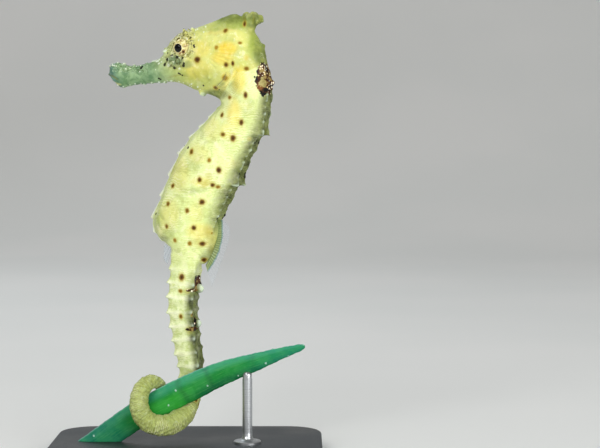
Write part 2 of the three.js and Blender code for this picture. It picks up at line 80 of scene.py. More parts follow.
TAIL_LINE = [
    (0.7, -0.2, 48.3), (0.3, -0.1, 45.3), (0.0, 0.0, 42.1), (-0.5, 0.0, 37.7), (-0.7, 0.2, 33.6),
    (-0.35, 0.6, 29.6), (0.2, 1.1, 25.4), (0.8, 1.8, 21.6), (1.0, 2.3, 18.6), (0.9, 2.2, 15.9),
    (0.6, 1.7, 13.0),
    (-0.5, -0.3, 10.15), (-3.1, -3.2, 8.45), (-6.2, -4.6, 8.4), (-8.6, -4.9, 9.6), (-9.9, -4.7, 11.9),
    (-10.1, -4.2, 14.2), (-9.4, -3.2, 16.3), (-7.9, -1.5, 17.4), (-6.3, 0.3, 16.9), (-5.4, 1.7, 15.4),
    (-5.4, 2.4, 13.7), (-6.4, 2.5, 12.4), (-7.6, 2.2, 11.9), (-8.6, 1.8, 12.2),
]
TAIL_TAPER = [(0, 3.3), (3, 3.0), (18, 2.6), (26, 2.35), (36, 2.2), (42, 2.3), (50, 2.15), (54, 1.9),
    (60, 1.25), (68, 0.35)]
TAIL_RINGS = 35
FIRST_RING = 3.05
EVEN_RINGS = 9
COILED_RINGS = 10
TAIL_SECTION = [(0.9, 0.0), (0.93, 0.78), (0.0, 0.97), (-0.93, 0.72), (-0.92, 0.0)]

# Head: x, top, underside and half the width, from the lips to the nape
HEAD_STATIONS = [
    (-17.0, 86.3, 85.1, 0.7), (-16.6, 87.4, 84.2, 1.5), (-15.6, 87.8, 83.1, 1.9),
    (-14.2, 87.5, 82.2, 1.95), (-12.6, 87.1, 82.6, 1.75), (-10.1, 87.3, 83.0, 1.65),
    (-7.5, 87.8, 83.1, 1.7), (-5.9, 88.4, 83.2, 1.85), (-4.8, 89.5, 83.3, 2.1),
    (-3.7, 91.3, 83.4, 2.5), (-2.2, 93.2, 83.3, 2.95), (-0.4, 94.4, 82.9, 3.3),
    (1.5, 94.8, 82.0, 3.6), (3.6, 95.4, 81.2, 3.9), (5.7, 96.2, 80.5, 4.15),
    (7.7, 97.0, 79.5, 4.35), (9.7, 97.8, 79.0, 4.4), (11.0, 98.0, 79.6, 4.4),
    (12.5, 97.3, 81.0, 4.35), (13.8, 95.8, 82.5, 4.2), (15.0, 94.3, 83.7, 3.9),
    (16.1, 92.7, 84.8, 3.4), (16.9, 91.2, 85.6, 2.7), (17.5, 90.0, 86.4, 1.7), (17.7, 89.2, 87.2, 0.9),
]

EYE_RADIUS = 2.05
EYE_AT = (0.25, 90.75)
EYE_OUT = 2.35
# The fold of skin round each eye
LID_RADIUS, LID_THICKNESS, LID_OUT = 1.98, 0.34, 0.55

# ---------------------------------------------------------------- numbers


def smooth_step(low, high, value):
    t = np.clip((value - low) / (high - low), 0, 1)
    return t * t * (3 - 2 * t)


def bump(value, width):
    """A smooth hill, 1 at 0."""
    return np.exp(-((value / width) ** 2))


def spline(points, t):
    """A smooth line through the points, at t counted in points."""
    p = np.asarray(points, float)
    t = np.clip(np.asarray(t, float), 0, len(p) - 1)
    i = np.minimum(t.astype(int), len(p) - 2)
    f = (t - i)[..., None] if p.ndim > 1 else t - i
    before, after = np.maximum(i - 1, 0), np.minimum(i + 2, len(p) - 1)
    a, b, c, d = p[before], p[i], p[i + 1], p[after]
    return b + 0.5 * f * (c - a + f * (2 * a - 5 * b + 4 * c - d + f * (3 * (b - c) + d - a)))


def closed_spline(corners, k):
    """A smooth closed line through the corners, at k counted in corners round it."""
    wrapped = corners[-2:] + corners + corners[:3]
    return spline(wrapped, np.mod(k, len(corners)) + 2)


def section(half, k):
    """A closed smooth section from half of its corners, at k counted in corners round it."""
    return closed_spline(list(half) + [(depth, -width) for depth, width in half[-2:0:-1]], k)


def measured(points, steps):
    """A fine smooth line through the points, and how far along it each of its places lies."""
    fine = spline(points, np.linspace(0, len(points) - 1, steps))
    return fine, np.concatenate([[0], np.cumsum(np.linalg.norm(np.diff(fine, axis=0), axis=1))])


def at_distance(distance, fine, run):
    return np.stack([np.interp(distance, run, fine[:, i]) for i in range(3)], -1)


def in_animal(x, z, out=0.0):
    """A point of the animal: x and z as seen square on, and the distance out to its right side."""
    x, z, out = np.broadcast_arrays(np.asarray(x, float), np.asarray(z, float), np.asarray(out, float))
    flat = np.stack([x, -x * math.tan(TURN), z], -1)
    return flat + out[..., None] * SIDEWAYS


def unit(v):
    return v / np.maximum(np.linalg.norm(v, axis=-1, keepdims=True), 1e-9)


def tooth(off, rise, fall):
    """A spine's profile along the body: a slow rise, then a quick drop."""
    return np.where(off < 0, np.clip(1 + off / rise, 0, 1) ** 1.6, np.clip(1 - off / fall, 0, 1) ** 0.8)


# ---------------------------------------------------------------- mesh making


def points_of(piece):
    co = np.empty(len(piece.data.vertices) * 3)
    piece.data.vertices.foreach_get("co", co)
    return co.reshape(-1, 3)


def move_points(piece, co):
    piece.data.vertices.foreach_set("co", np.asarray(co, float).ravel())
    piece.data.update()


def only(piece):
    """Selects one piece and nothing else."""
    bpy.ops.object.select_all(action="DESELECT")
    piece.select_set(True)
    bpy.context.view_layer.objects.active = piece


def added(operator, **settings):
    """Adds a plain shape while nothing is selected."""
    bpy.ops.object.select_all(action="DESELECT")
    operator(**settings)
    return bpy.context.object


def close_up(piece, distance=2e-5):
    """Merges the points that meet and turns every face outwards."""
    only(piece)
    bpy.ops.object.mode_set(mode="EDIT")
    bpy.ops.mesh.select_all(action="SELECT")
    bpy.ops.mesh.remove_doubles(threshold=distance)
    bpy.ops.mesh.normals_make_consistent(inside=False)
    bpy.ops.object.mode_set(mode="OBJECT")


# The rolled forms as they were made: points, triangles, and how far along and round each point is
FORMS = {}


def roll(name, along, around, place):
    """Rolls a flat sheet into a closed tube: place(t, turn) gives each point, both from 0 to 1."""
    piece = added(bpy.ops.mesh.primitive_grid_add, x_subdivisions=along, y_subdivisions=around, size=2)
    piece.name = name
    flat = points_of(piece)
    t = np.round((flat[:, 0] + 1) / 2 * along) / along
    turn = np.round((flat[:, 1] + 1) / 2 * around) / around
    points = place(t, np.where(turn >= 1, 0, turn))
    move_points(piece, points)
    quads = np.array([face.vertices[:] for face in piece.data.polygons])
    FORMS[name] = points, np.concatenate([quads[:, :3], quads[:, [0, 2, 3]]]), t, turn
    return piece


def apply_modifier(piece, kind, **settings):
    only(piece)
    modifier = piece.modifiers.new(kind.title(), kind)
    for key, value in settings.items():
        setattr(modifier, key, value)
    bpy.ops.object.modifier_apply(modifier=modifier.name)


def join(pieces, name):
    bpy.ops.object.select_all(action="DESELECT")
    for piece in pieces:
        piece.select_set(True)
    bpy.context.view_layer.objects.active = pieces[0]
    bpy.ops.object.join()
    pieces[0].name = name
    return pieces[0]


def ball(centre, radius, segments=32):
    sphere = bpy.ops.mesh.primitive_uv_sphere_add
    piece = added(sphere, segments=segments, ring_count=segments // 2, radius=radius)
    move_points(piece, points_of(piece) + np.asarray(centre))
    return piece


def ends_closed(t, margin):
    """0 at both ends of a tube and 1 everywhere else, so that its ends draw shut."""
    return np.where((t < margin) | (t > 1 - margin), 0.0, 1.0)


# ---------------------------------------------------------------- trunk

TRUNK_COUNT = len(BELLY_LINE) - 1
TRUNK_CORNERS = 2 * (len(TRUNK_SECTION) - 1)
KEEL = TRUNK_CORNERS // 2
# Ridges of the section: corner, height of its line, height of its knobs
TRUNK_RIDGES = [(1, 0.05, 0.36), (3, 0.02, 0.07), (5, 0.04, 0.14), (7, 0.06, 0.85),
                (9, 0.04, 0.14), (11, 0.02, 0.07), (13, 0.05, 0.36)]


def trunk_surface(ring, k):
    belly = spline(BELLY_LINE, ring)
    back = spline(BACK_LINE, ring)
    low = in_animal(belly[..., 0], belly[..., 1])
    high = in_animal(back[..., 0], back[..., 1])
    to_back = unit(high - low)
    half_depth = np.linalg.norm(high - low, axis=-1) / 2
    shape = section(TRUNK_SECTION, k)
    half_width = spline(TRUNK_HALF_WIDTHS, ring)
    across = (
        to_back * (shape[..., 0] * half_depth)[..., None]
        + SIDEWAYS * (shape[..., 1] * half_width)[..., None]
    )
    outwards = unit(across)
    ahead = unit(np.cross(to_back, SIDEWAYS))
    ahead = ahead * np.where(ahead[..., 2:3] > 0, -1, 1)
    fade = smooth_step(1.2, 3.2, ring)
    off, share = ring - np.round(ring), np.mod(ring + 0.05, 1)
    relief = 0.03 * bump(off, 0.2) - 0.02 * (1 - bump(off, 0.34))
    droop = np.zeros_like(relief)
    for corner, line, knob in TRUNK_RIDGES:
        near = k - corner
        near = np.minimum(np.abs(near), TRUNK_CORNERS - np.abs(near))
        keel = corner == KEEL
        step = np.where(share > 0.9, (1 - share) / 0.1, share / 0.9) ** 1.5
        point = step if keel else tooth(off, 0.42, 0.24)
        relief = relief + line * bump(near, 0.3 if keel else 0.24)
        relief = relief + knob * point * bump(near, 0.34 if keel else 0.3)
        if corner in (1, 13):
            for spine, length in LONG_SPINES.items():
                long = length * tooth(ring - spine, 1.0, 0.16) * bump(near, 0.36)
                relief = relief + long
                droop = droop + 0.8 * long
    return (low + high) / 2 + across + outwards * (relief * fade)[..., None] + ahead * droop[..., None]


def make_trunk():
    along, around = TRUNK_COUNT * 20, 112

    def place(t, turn):
        ring = t * TRUNK_COUNT
        surface = trunk_surface(ring, turn * TRUNK_CORNERS)
        middle = in_animal(*((spline(BELLY_LINE, ring) + spline(BACK_LINE, ring)) / 2).T)
        size = ends_closed(t, 0.5 / along)[:, None]
        return middle + (surface - middle) * size

    return roll("trunk_form", along, around, place)


# ---------------------------------------------------------------- tail

TAIL_STEPS = 14
TAIL_CORNERS = 2 * (len(TAIL_SECTION) - 1)
# Steps of the tail that lie hidden in the end of the trunk
TAIL_LEAD = 11


def tail_frames():
    """Places along the tail with its directions to the back and the side, at even steps of its rings."""
    fine, run = measured(TAIL_LINE, 4000)
    run -= np.interp(-TAIL_LINE[1][2], -fine[:400, 2], run[:400])
    length = run[-1]
    ring = np.arange(-TAIL_LEAD, TAIL_RINGS * TAIL_STEPS + 1) / TAIL_STEPS
    rest = TAIL_RINGS - EVEN_RINGS
    shrink = (FIRST_RING - (length - EVEN_RINGS * FIRST_RING) / rest) / rest
    later = np.maximum(0, ring - EVEN_RINGS)
    distance = np.minimum(length, ring * FIRST_RING - shrink * later**2)
    at = at_distance(distance, fine, run)
    step = 0.15
    ahead = unit(at_distance(distance + step, fine, run) - at_distance(distance - step, fine, run))
    back = np.empty_like(at)
    last = BACKWARD
    for i, direction in enumerate(ahead):
        last = last - direction * np.dot(last, direction)
        last = last / np.linalg.norm(last)
        back[i] = last
    half = np.interp(distance, *zip(*TAIL_TAPER))
    return ring, at, ahead, back, np.cross(back, ahead), half


TAIL = tail_frames()


def make_tail():
    along, around = TAIL_RINGS * TAIL_STEPS + TAIL_LEAD, 72

    def place(t, turn):
        step = np.round(t * along).astype(int)
        ring, at, ahead, back, side, half = (values[step] for values in TAIL)
        k = turn * TAIL_CORNERS
        coiled = smooth_step(COILED_RINGS - 1.5, COILED_RINGS + 1.5, ring)[:, None]
        squared = section(TAIL_SECTION, k)
        angle = k * FULL_TURN / TAIL_CORNERS
        rounded = np.stack([np.cos(angle), np.sin(angle)], -1)
        shape = squared + 0.75 * coiled * (rounded - squared)
        coiled = coiled[:, 0]
        across = back * (shape[:, 0] * half)[:, None] + side * (shape[:, 1] * half * 0.94)[:, None]
        outwards = unit(across)
        size = half / TAIL_TAPER[0][1]
        off = ring - np.round(ring)
        rooted = smooth_step(-0.2, 1.6, ring)
        relief = (0.08 * bump(off, 0.22) - 0.05 * (1 - bump(off, 0.34))) * (1 - 0.3 * coiled)
        droop = np.zeros_like(relief)
        for corner in (1, 3, 5, 7):
            near = np.minimum(np.abs(k - corner), TAIL_CORNERS - np.abs(k - corner))
            belly = corner in (3, 5)
            relief = relief + 0.1 * bump(near, 0.3) * (1 - coiled)
            if belly:
                spine = (0.92 * (1 - coiled) + 0.22 * coiled) * tooth(off, 0.36, 0.16) * bump(near, 0.34)
                droop = droop + 0.5 * (1 - coiled) * spine
            else:
                spine = (0.5 * (1 - coiled) + 0.15 * coiled) * tooth(off, 0.3, 0.2) * bump(near, 0.34)
            relief = relief + spine
        tip = ends_closed(t, 0.5 / along)
        size = size * rooted
        surface = across + outwards * (relief * size)[:, None] + ahead * (droop * size)[:, None]
        return at + surface * tip[:, None]

    return roll("tail_form", along, around, place)


# ---------------------------------------------------------------- head


def make_head_tube():
    count = len(HEAD_STATIONS) - 1
    along, around = count * 10, 96
    stations = np.array(HEAD_STATIONS)

    def place(t, turn):
        station = spline(stations, t * count)
        x, top, under, half = station.T
        angle = FULL_TURN * turn
        height = np.cos(angle)
        cranium = smooth_step(-4, 8, x)
        narrowing = 1 - 0.45 * cranium * np.maximum(0, height) ** 2
        out = half * np.sin(angle) * narrowing
        size = ends_closed(t, 0.5 / along)
        middle = (top + under) / 2
        return in_animal(x, middle + height * (top - under) / 2 * size, out * size)

    return roll("head_form", along, around, place)


def make_knob(x, z, out, radius, reach_x, reach_z):
    """A blunt knob of skin: a ball drawn out along one direction."""
    piece = ball((0, 0, 0), 1, 20)
    co = points_of(piece)
    reach = math.hypot(reach_x, reach_z)
    lengthwise = unit(reach_x * BACKWARD + reach_z * UP)
    along = co @ lengthwise
    co = co * radius + np.outer(along * np.abs(along), lengthwise) * (reach - radius)
    move_points(piece, co + in_animal(x, z, out))
    return piece


# Knobs of the head, one on each side: x, z, out, radius, reach
HEAD_KNOBS = [
    (0.35, 94.2, 1.5, 0.5, -0.35, 0.95),
    (2.0, 94.6, 1.3, 0.4, 0.1, 0.7),
    (-4.0, 90.5, 1.15, 0.45, -0.5, 0.4),
    (16.9, 90.9, 1.0, 0.7, 0.6, 0.1),
    (18.5, 83.0, 1.2, 0.7, 0.9, -0.1),
    (3.95, 81.25, 0.6, 0.72, -0.1, -1.15),
    (6.8, 84.2, 3.6, 0.6, -0.2, -0.7),
    (-16.4, 86.8, 0.9, 0.45, -0.5, 0.5),
    (-16.7, 85.2, 0.5, 0.5, -0.75, -0.1),
]


def make_lobe(name, x, z, out, half_long, half_deep, half_wide, lean=0.0):
    """A rounded lobe of flesh: long upwards, deep fore and aft, wide from side to side, leaning forwards."""
    piece = ball((0, 0, 0), 1, 40)
    piece.name = name
    long_way = math.cos(lean) * UP - math.sin(lean) * BACKWARD
    deep_way = math.cos(lean) * BACKWARD + math.sin(lean) * UP
    co = points_of(piece)
    shaped = np.outer(co[:, 2] * half_long, long_way) + np.outer(co[:, 0] * half_deep, deep_way)
    move_points(piece, in_animal(x, z, out) + shaped + np.outer(co[:, 1] * half_wide, SIDEWAYS))
    return piece


# The crown: a low stalk with a ring of rounded lobes that leans back: x, z, out, half height, depth, width
CROWN_LOBES = [
    (14.1, 95.6, 0.0, 1.9, 1.55, 1.5), (13.55, 97.2, 0.0, 1.2, 1.0, 0.8), (15.1, 97.3, 0.75, 1.1, 0.95, 0.7),
    (15.1, 97.3, -0.75, 1.1, 0.95, 0.7), (16.25, 96.85, 0.35, 0.95, 0.95, 0.75),
    (16.95, 96.35, 0.0, 0.55, 0.5, 0.5),
    (14.1, 96.9, 1.05, 0.9, 0.75, 0.6), (14.1, 96.9, -1.05, 0.9, 0.75, 0.6),
    (16.0, 96.4, -0.75, 0.85, 0.75, 0.65),
    (15.3, 96.6, 0.0, 1.4, 1.35, 1.0), (16.0, 96.4, 0.75, 0.85, 0.75, 0.65),
]
# Flesh that fills the nape, carries the back fin, and stands in two small lobes on the back of the tail
NAPE_LOBE = (14.6, 88.2, 0.0, 5.2, 2.7, 3.3, 0.15)
FIN_ROOT_LOBE = (4.75, 48.8, 0.0, 5.7, 2.3, 1.5, -0.24)
TAIL_LOBES = [(2.7, 38.0, 0.3, 1.0, 1.25, 0.55), (2.3, 30.3, 0.3, 1.0, 1.15, 0.55)]


def make_lobes():
    lobes = [make_lobe("crown_lobe", *lobe) for lobe in CROWN_LOBES]
    lobes += [make_lobe("tail_lobe", *lobe) for lobe in TAIL_LOBES]
    return lobes + [make_lobe("nape_lobe", *NAPE_LOBE), make_lobe("fin_root_lobe", *FIN_ROOT_LOBE)]


def make_lid(side):
    """The fold of skin round the eye."""
    radii = {"major_radius": LID_RADIUS, "minor_radius": LID_THICKNESS}
    piece = added(bpy.ops.mesh.primitive_torus_add, major_segments=64, minor_segments=16, **radii)
    co = points_of(piece)
    out = side * SIDEWAYS
    across = unit(np.cross(UP, out))
    co = np.outer(co[:, 0], across) + np.outer(co[:, 1], UP) + np.outer(co[:, 2], out)
    move_points(piece, co + in_animal(*EYE_AT, side * (EYE_OUT + LID_OUT)))
    return piece


def cut_away(piece, tool):
    apply_modifier(piece, "BOOLEAN", operation="DIFFERENCE", object=tool, solver="EXACT")
    bpy.data.objects.remove(tool)


def make_head():
    pieces = [make_head_tube()]
    for side in (-1, 1):
        pieces.append(ball(in_animal(*EYE_AT, side * 1.6), 2.7, 48))
        pieces.append(make_lid(side))
        for x, z, out, radius, reach_x, reach_z in HEAD_KNOBS:
            pieces.append(make_knob(x, z, side * out, radius, reach_x, reach_z))
    head = join(pieces, "head_form")
    close_up(head)
    apply_modifier(head, "REMESH", mode="VOXEL", voxel_size=SKIN_GRAIN)
    for side in (-1, 1):
        cut_away(head, ball(in_animal(*EYE_AT, side * EYE_OUT), EYE_RADIUS + 0.08, 48))
    return head


# ---------------------------------------------------------------- skin


def edges_of(piece):
    ends = np.empty(len(piece.data.edges) * 2, np.int64)
    piece.data.edges.foreach_get("vertices", ends)
    return ends.reshape(-1, 2)


def smoothed(values, edges, rounds):
    """Values spread along the mesh edges: each round moves a point towards its neighbours' mean."""
    values = np.array(values, float)
    a, b = edges[:, 0], edges[:, 1]
    count = np.bincount(a, minlength=len(values)) + np.bincount(b, minlength=len(values))
    count = np.maximum(count, 1)
    flat = values.ndim == 1
    table = values[:, None] if flat else values
    for _ in range(rounds):
        sums = [np.bincount(a, column[b], len(table)) + np.bincount(b, column[a], len(table)) for column in table.T]
        table = table + 0.5 * (np.stack(sums, -1) / count[:, None] - table)
    return table[:, 0] if flat else table


def make_skin():
    trunk, tail = make_trunk(), make_tail()
    lobes = make_lobes()
    for form in (trunk, tail, *lobes):
        close_up(form)
    head = make_head()
    skin = join([head, trunk, tail, *lobes], "skin")
    apply_modifier(skin, "REMESH", mode="VOXEL", voxel_size=SKIN_GRAIN)
    edges = edges_of(skin)
    co = smoothed(points_of(skin), edges, 2)
    away = []
    for form_points, form_triangles, _, _ in FORMS.values():
        tree = BVHTree.FromPolygons(form_points.tolist(), form_triangles.tolist())
        away.append([tree.find_nearest(Vector(p))[3] for p in co])
    second = np.sort(np.array(away), axis=0)[1]
    seam = (1 - smooth_step(0.15, 1.3, second))[:, None]
    co += seam * (smoothed(co, edges, 40) - co)
    for (x, z), reach in (((15.6, 88.4), 3.6), ((5.2, 48.0), 2.8), ((2.4, 45.2), 2.6), ((9.5, 81.0), 2.4)):
        near = bump(np.hypot(co[:, 0] - x, co[:, 2] - z) / reach, 1.0)[:, None]
        co += near * (smoothed(co, edges, 90) - co)
    move_points(skin, co)
    return skin


def finish_piece(piece, finish, slot, *replaced):
    """Brings a piece down to its real size and gives it its finish and its place in the model."""
    piece.data.materials.append(finish)
    piece.data.transform(Matrix.Scale(MM, 4))
    piece.data.update()
    only(piece)
    bpy.ops.object.shade_smooth()
    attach(piece, "root")
    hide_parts(*replaced)


# ---------------------------------------------------------------- where each point of the skin lies

HEAD, TRUNK, TAIL_ZONE = 0, 1, 2
# The rolled form of each part, how many rings or stations it has, and how many lie hidden ahead of them
BODY_FORMS = (
    ("head_form", len(HEAD_STATIONS) - 1, 0),
    ("trunk_form", TRUNK_COUNT, 0),
    ("tail_form", TAIL_RINGS, TAIL_LEAD / TAIL_STEPS),
)
# The side of the tail's own frame that faces left, and the same for the rest of the body
TAIL_NEAR_SIGN = -1
BODY_NEAR_SIGN = -1


def body_places(co):
    """For each point of the skin: its part of the body, its ring, and how far round the section it is."""
    points, triangles, zones, rings, turns = [], [], [], [], []
    for zone, (name, count, lead) in enumerate(BODY_FORMS):
        form_points, form_triangles, t, turn = FORMS[name]
        triangles.append(form_triangles + sum(len(earlier) for earlier in points))
        points.append(form_points)
        zones.append(np.full(len(form_points), zone))
        rings.append(t * (count + lead) - lead)
        turns.append(turn)
    points, triangles, zones, rings, turns = map(np.concatenate, (points, triangles, zones, rings, turns))
    tree = BVHTree.FromPolygons(points.tolist(), triangles.tolist())
    hits = [tree.find_nearest(Vector(p)) for p in co]
    face = triangles[np.array([hit[2] for hit in hits])]
    at = np.array([hit[0][:] for hit in hits])
    a, b, c = (points[face[:, i]] for i in range(3))
    area = np.linalg.norm(np.cross(b - a, c - a), axis=1) + 1e-12
    weight_b = np.linalg.norm(np.cross(at - a, c - a), axis=1) / area
    weight_c = np.linalg.norm(np.cross(at - a, b - a), axis=1) / area
    weights = np.stack([np.clip(1 - weight_b - weight_c, 0, 1), weight_b, weight_c], -1)
    weights = weights / weights.sum(axis=1, keepdims=True)
    return zones[face[:, 0]], (rings[face] * weights).sum(axis=1), (turns[face] * weights).sum(axis=1)


def mirror_to_left(co, zone, ring):
    """The points of the right side laid over the left side, and which side each one is on."""
    frame_ring, at, _, _, side, _ = TAIL
    on_tail = zone == TAIL_ZONE
    origin = np.zeros_like(co)
    sideways = np.tile(SIDEWAYS, (len(co), 1))
    for i in range(3):
        origin[on_tail, i] = np.interp(ring[on_tail], frame_ring, at[:, i])
        sideways[on_tail, i] = np.interp(ring[on_tail], frame_ring, side[:, i])
    sideways = unit(sideways)
    sideways = sideways * np.where((sideways @ SIDEWAYS < 0) & ~on_tail, -1, 1)[:, None]
    out = ((co - origin) * sideways).sum(axis=1)
    near_is_positive = np.where(on_tail, TAIL_NEAR_SIGN, BODY_NEAR_SIGN)
    far = out * near_is_positive < 0
    laid = np.where(far[:, None], co - 2 * out[:, None] * sideways, co)
    return laid, far


def pictured(co):
    """x and z of each point on the upright plane through the origin, seen from the viewing point."""
    t = EYE_POINT[1] / (EYE_POINT[1] - co[:, 1])
    return np.stack([EYE_POINT[i] + (co[:, i] - EYE_POINT[i]) * t for i in (0, 2)], -1)


def normals_of(piece):
    normals = np.empty(len(piece.data.vertices) * 3)
    piece.data.vertices.foreach_get("normal", normals)
    return normals.reshape(-1, 3)


def give(piece, name, values):
    """Stores one number for each point of the piece, for its finish to read."""
    attribute = piece.data.attributes.new(name, "FLOAT", "POINT")
    attribute.data.foreach_set("value", np.asarray(values, np.float32))


def from_line(view, line):
    """Distance of each viewed point from a bent line, and how far along the line it is (0 to 1)."""
    line = np.asarray(line, float)
    best = np.full(len(view), 1e9)
    place = np.zeros(len(view))
    for i, (a, b) in enumerate(zip(line[:-1], line[1:])):
        along = b - a
        t = np.clip(((view - a) @ along) / (along @ along), 0, 1)
        distance = np.linalg.norm(view - a - t[:, None] * along, axis=1)
        closer = distance < best
        best = np.where(closer, distance, best)
        place = np.where(closer, (i + t) / (len(line) - 1), place)
    return best, place


def ripple(co, size, seed):
    """A smooth wandering value, about -1 to 1, that changes over the given distance."""
    chance = np.random.default_rng(seed)
    total = np.zeros(len(co))
    for _ in range(6):
        direction = unit(chance.normal(size=3))
        total += np.sin(co @ direction * (FULL_TURN / size) * chance.uniform(0.6, 1.4) + chance.uniform(0, 6.3))
    return total / 3


# ---------------------------------------------------------------- markings, as the left side shows them

# Brown spots: x, z, radius, how much taller than wide, and how dark
SPOTS = [
    (2.6, 88.3, 0.68, 0.9, 1.0), (6.8, 90.9, 0.42, 1.2, 0.2), (8.8, 94.5, 0.5, 1.0, 0.6),
    (12.9, 96.0, 0.46, 1.8, 0.8), (12.0, 91.9, 0.34, 0.7, 0.4), (8.8, 87.2, 0.5, 1.1, 0.8),
    (10.4, 87.5, 0.42, 1.6, 0.9), (13.3, 86.3, 0.46, 0.8, 0.5), (8.6, 84.1, 0.55, 1.0, 0.35),
    (6.7, 82.1, 0.5, 0.7, 0.7), (9.7, 79.9, 0.42, 1.0, 0.5), (13.2, 80.4, 0.5, 1.6, 0.9),
    (7.9, 76.2, 0.46, 1.4, 0.7), (12.2, 74.4, 0.55, 1.5, 1.0), (8.1, 71.9, 0.46, 1.0, 0.6),
    (10.4, 71.1, 0.62, 1.2, 0.9), (1.3, 68.1, 0.54, 1.3, 0.6), (5.2, 66.3, 0.42, 1.1, 0.4),
    (7.3, 64.1, 0.58, 1.3, 1.0), (3.1, 61.9, 0.52, 1.4, 0.8), (5.8, 60.8, 0.46, 0.9, 0.8),
    (7.0, 60.4, 0.4, 0.8, 0.5), (-2.9, 60.6, 0.48, 1.2, 0.7), (-4.0, 56.6, 0.48, 1.0, 0.6),
    (3.5, 57.1, 0.6, 0.9, 0.9), (0.2, 55.1, 0.46, 1.4, 0.6), (-4.3, 51.6, 0.44, 1.2, 0.6),
    (1.6, 51.3, 0.52, 1.1, 1.0), (-2.5, 48.7, 0.42, 1.3, 0.4), (0.9, 47.9, 0.44, 1.3, 0.4),
    (3.7, 47.9, 0.58, 0.8, 0.9), (5.7, 50.2, 0.22, 1.4, 0.4), (4.0, 44.3, 0.58, 0.9, 1.0),
    (-0.9, 40.4, 0.64, 1.3, 1.0), (-1.3, 37.3, 0.42, 0.8, 0.5), (-1.3, 31.8, 0.44, 1.4, 0.6),
    (1.3, 32.2, 0.36, 1.5, 1.0), (2.2, 13.1, 0.46, 0.8, 0.8),
]
# Faint golden smudges
SMUDGES = [(5.5, 94.2, 0.5), (6.6, 93.7, 0.35), (13.4, 88.6, 0.7), (5.0, 62.8, 0.9), (4.2, 60.9, 1.0),
    (14.0, 71.0, 0.5),
           (2.4, 48.2, 1.2), (0.4, 28.9, 0.9), (0.2, 37.4, 0.7), (4.9, 50.6, 1.2)]
# Black specks of the face and the tail
SPECKS = [
    (-0.2, 94.5, 0.34), (-1.35, 93.4, 0.2), (1.2, 93.05, 0.26), (1.87, 91.4, 0.28), (1.9, 90.95, 0.26),
    (-3.77, 90.8, 0.2), (-3.84, 89.6, 0.22), (-2.3, 89.5, 0.2), (-2.75, 89.3, 0.22), (-3.2, 89.1, 0.2),
    (-1.76, 88.8, 0.36), (-0.6, 88.5, 0.26), (-4.0, 88.35, 0.36), (-4.6, 87.1, 0.38), (-4.45, 87.4, 0.3),
    (-2.4, 86.5, 0.36), (-0.4, 87.0, 0.36), (-0.35, 87.3, 0.3), (-1.5, 85.2, 0.24), (-1.1, 85.1, 0.26),
    (-0.7, 84.9, 0.22), (-5.9, 84.1, 0.26), (-5.5, 84.0, 0.24), (-9.75, 86.4, 0.34), (-9.5, 86.7, 0.3),
    (-0.2, 95.0, 0.2), (0.5, 93.8, 0.2), (-3.2, 91.9, 0.16), (-2.9, 92.3, 0.16), (-2.3, 93.1, 0.2),
    (-10.6, 86.9, 0.2), (3.9, 82.6, 0.24), (15.9, 69.8, 0.36), (0.5, 69.0, 0.34), (12.6, 62.9, 0.4),
    (12.4, 62.3, 0.34), (-6.6, 54.4, 0.32), (8.4, 53.6, 0.4), (7.0, 53.4, 0.36), (-1.2, 70.3, 0.2),
    (-1.9, 69.0, 0.2), (7.4, 81.7, 0.2), (-6.1, 11.0, 0.2),
]
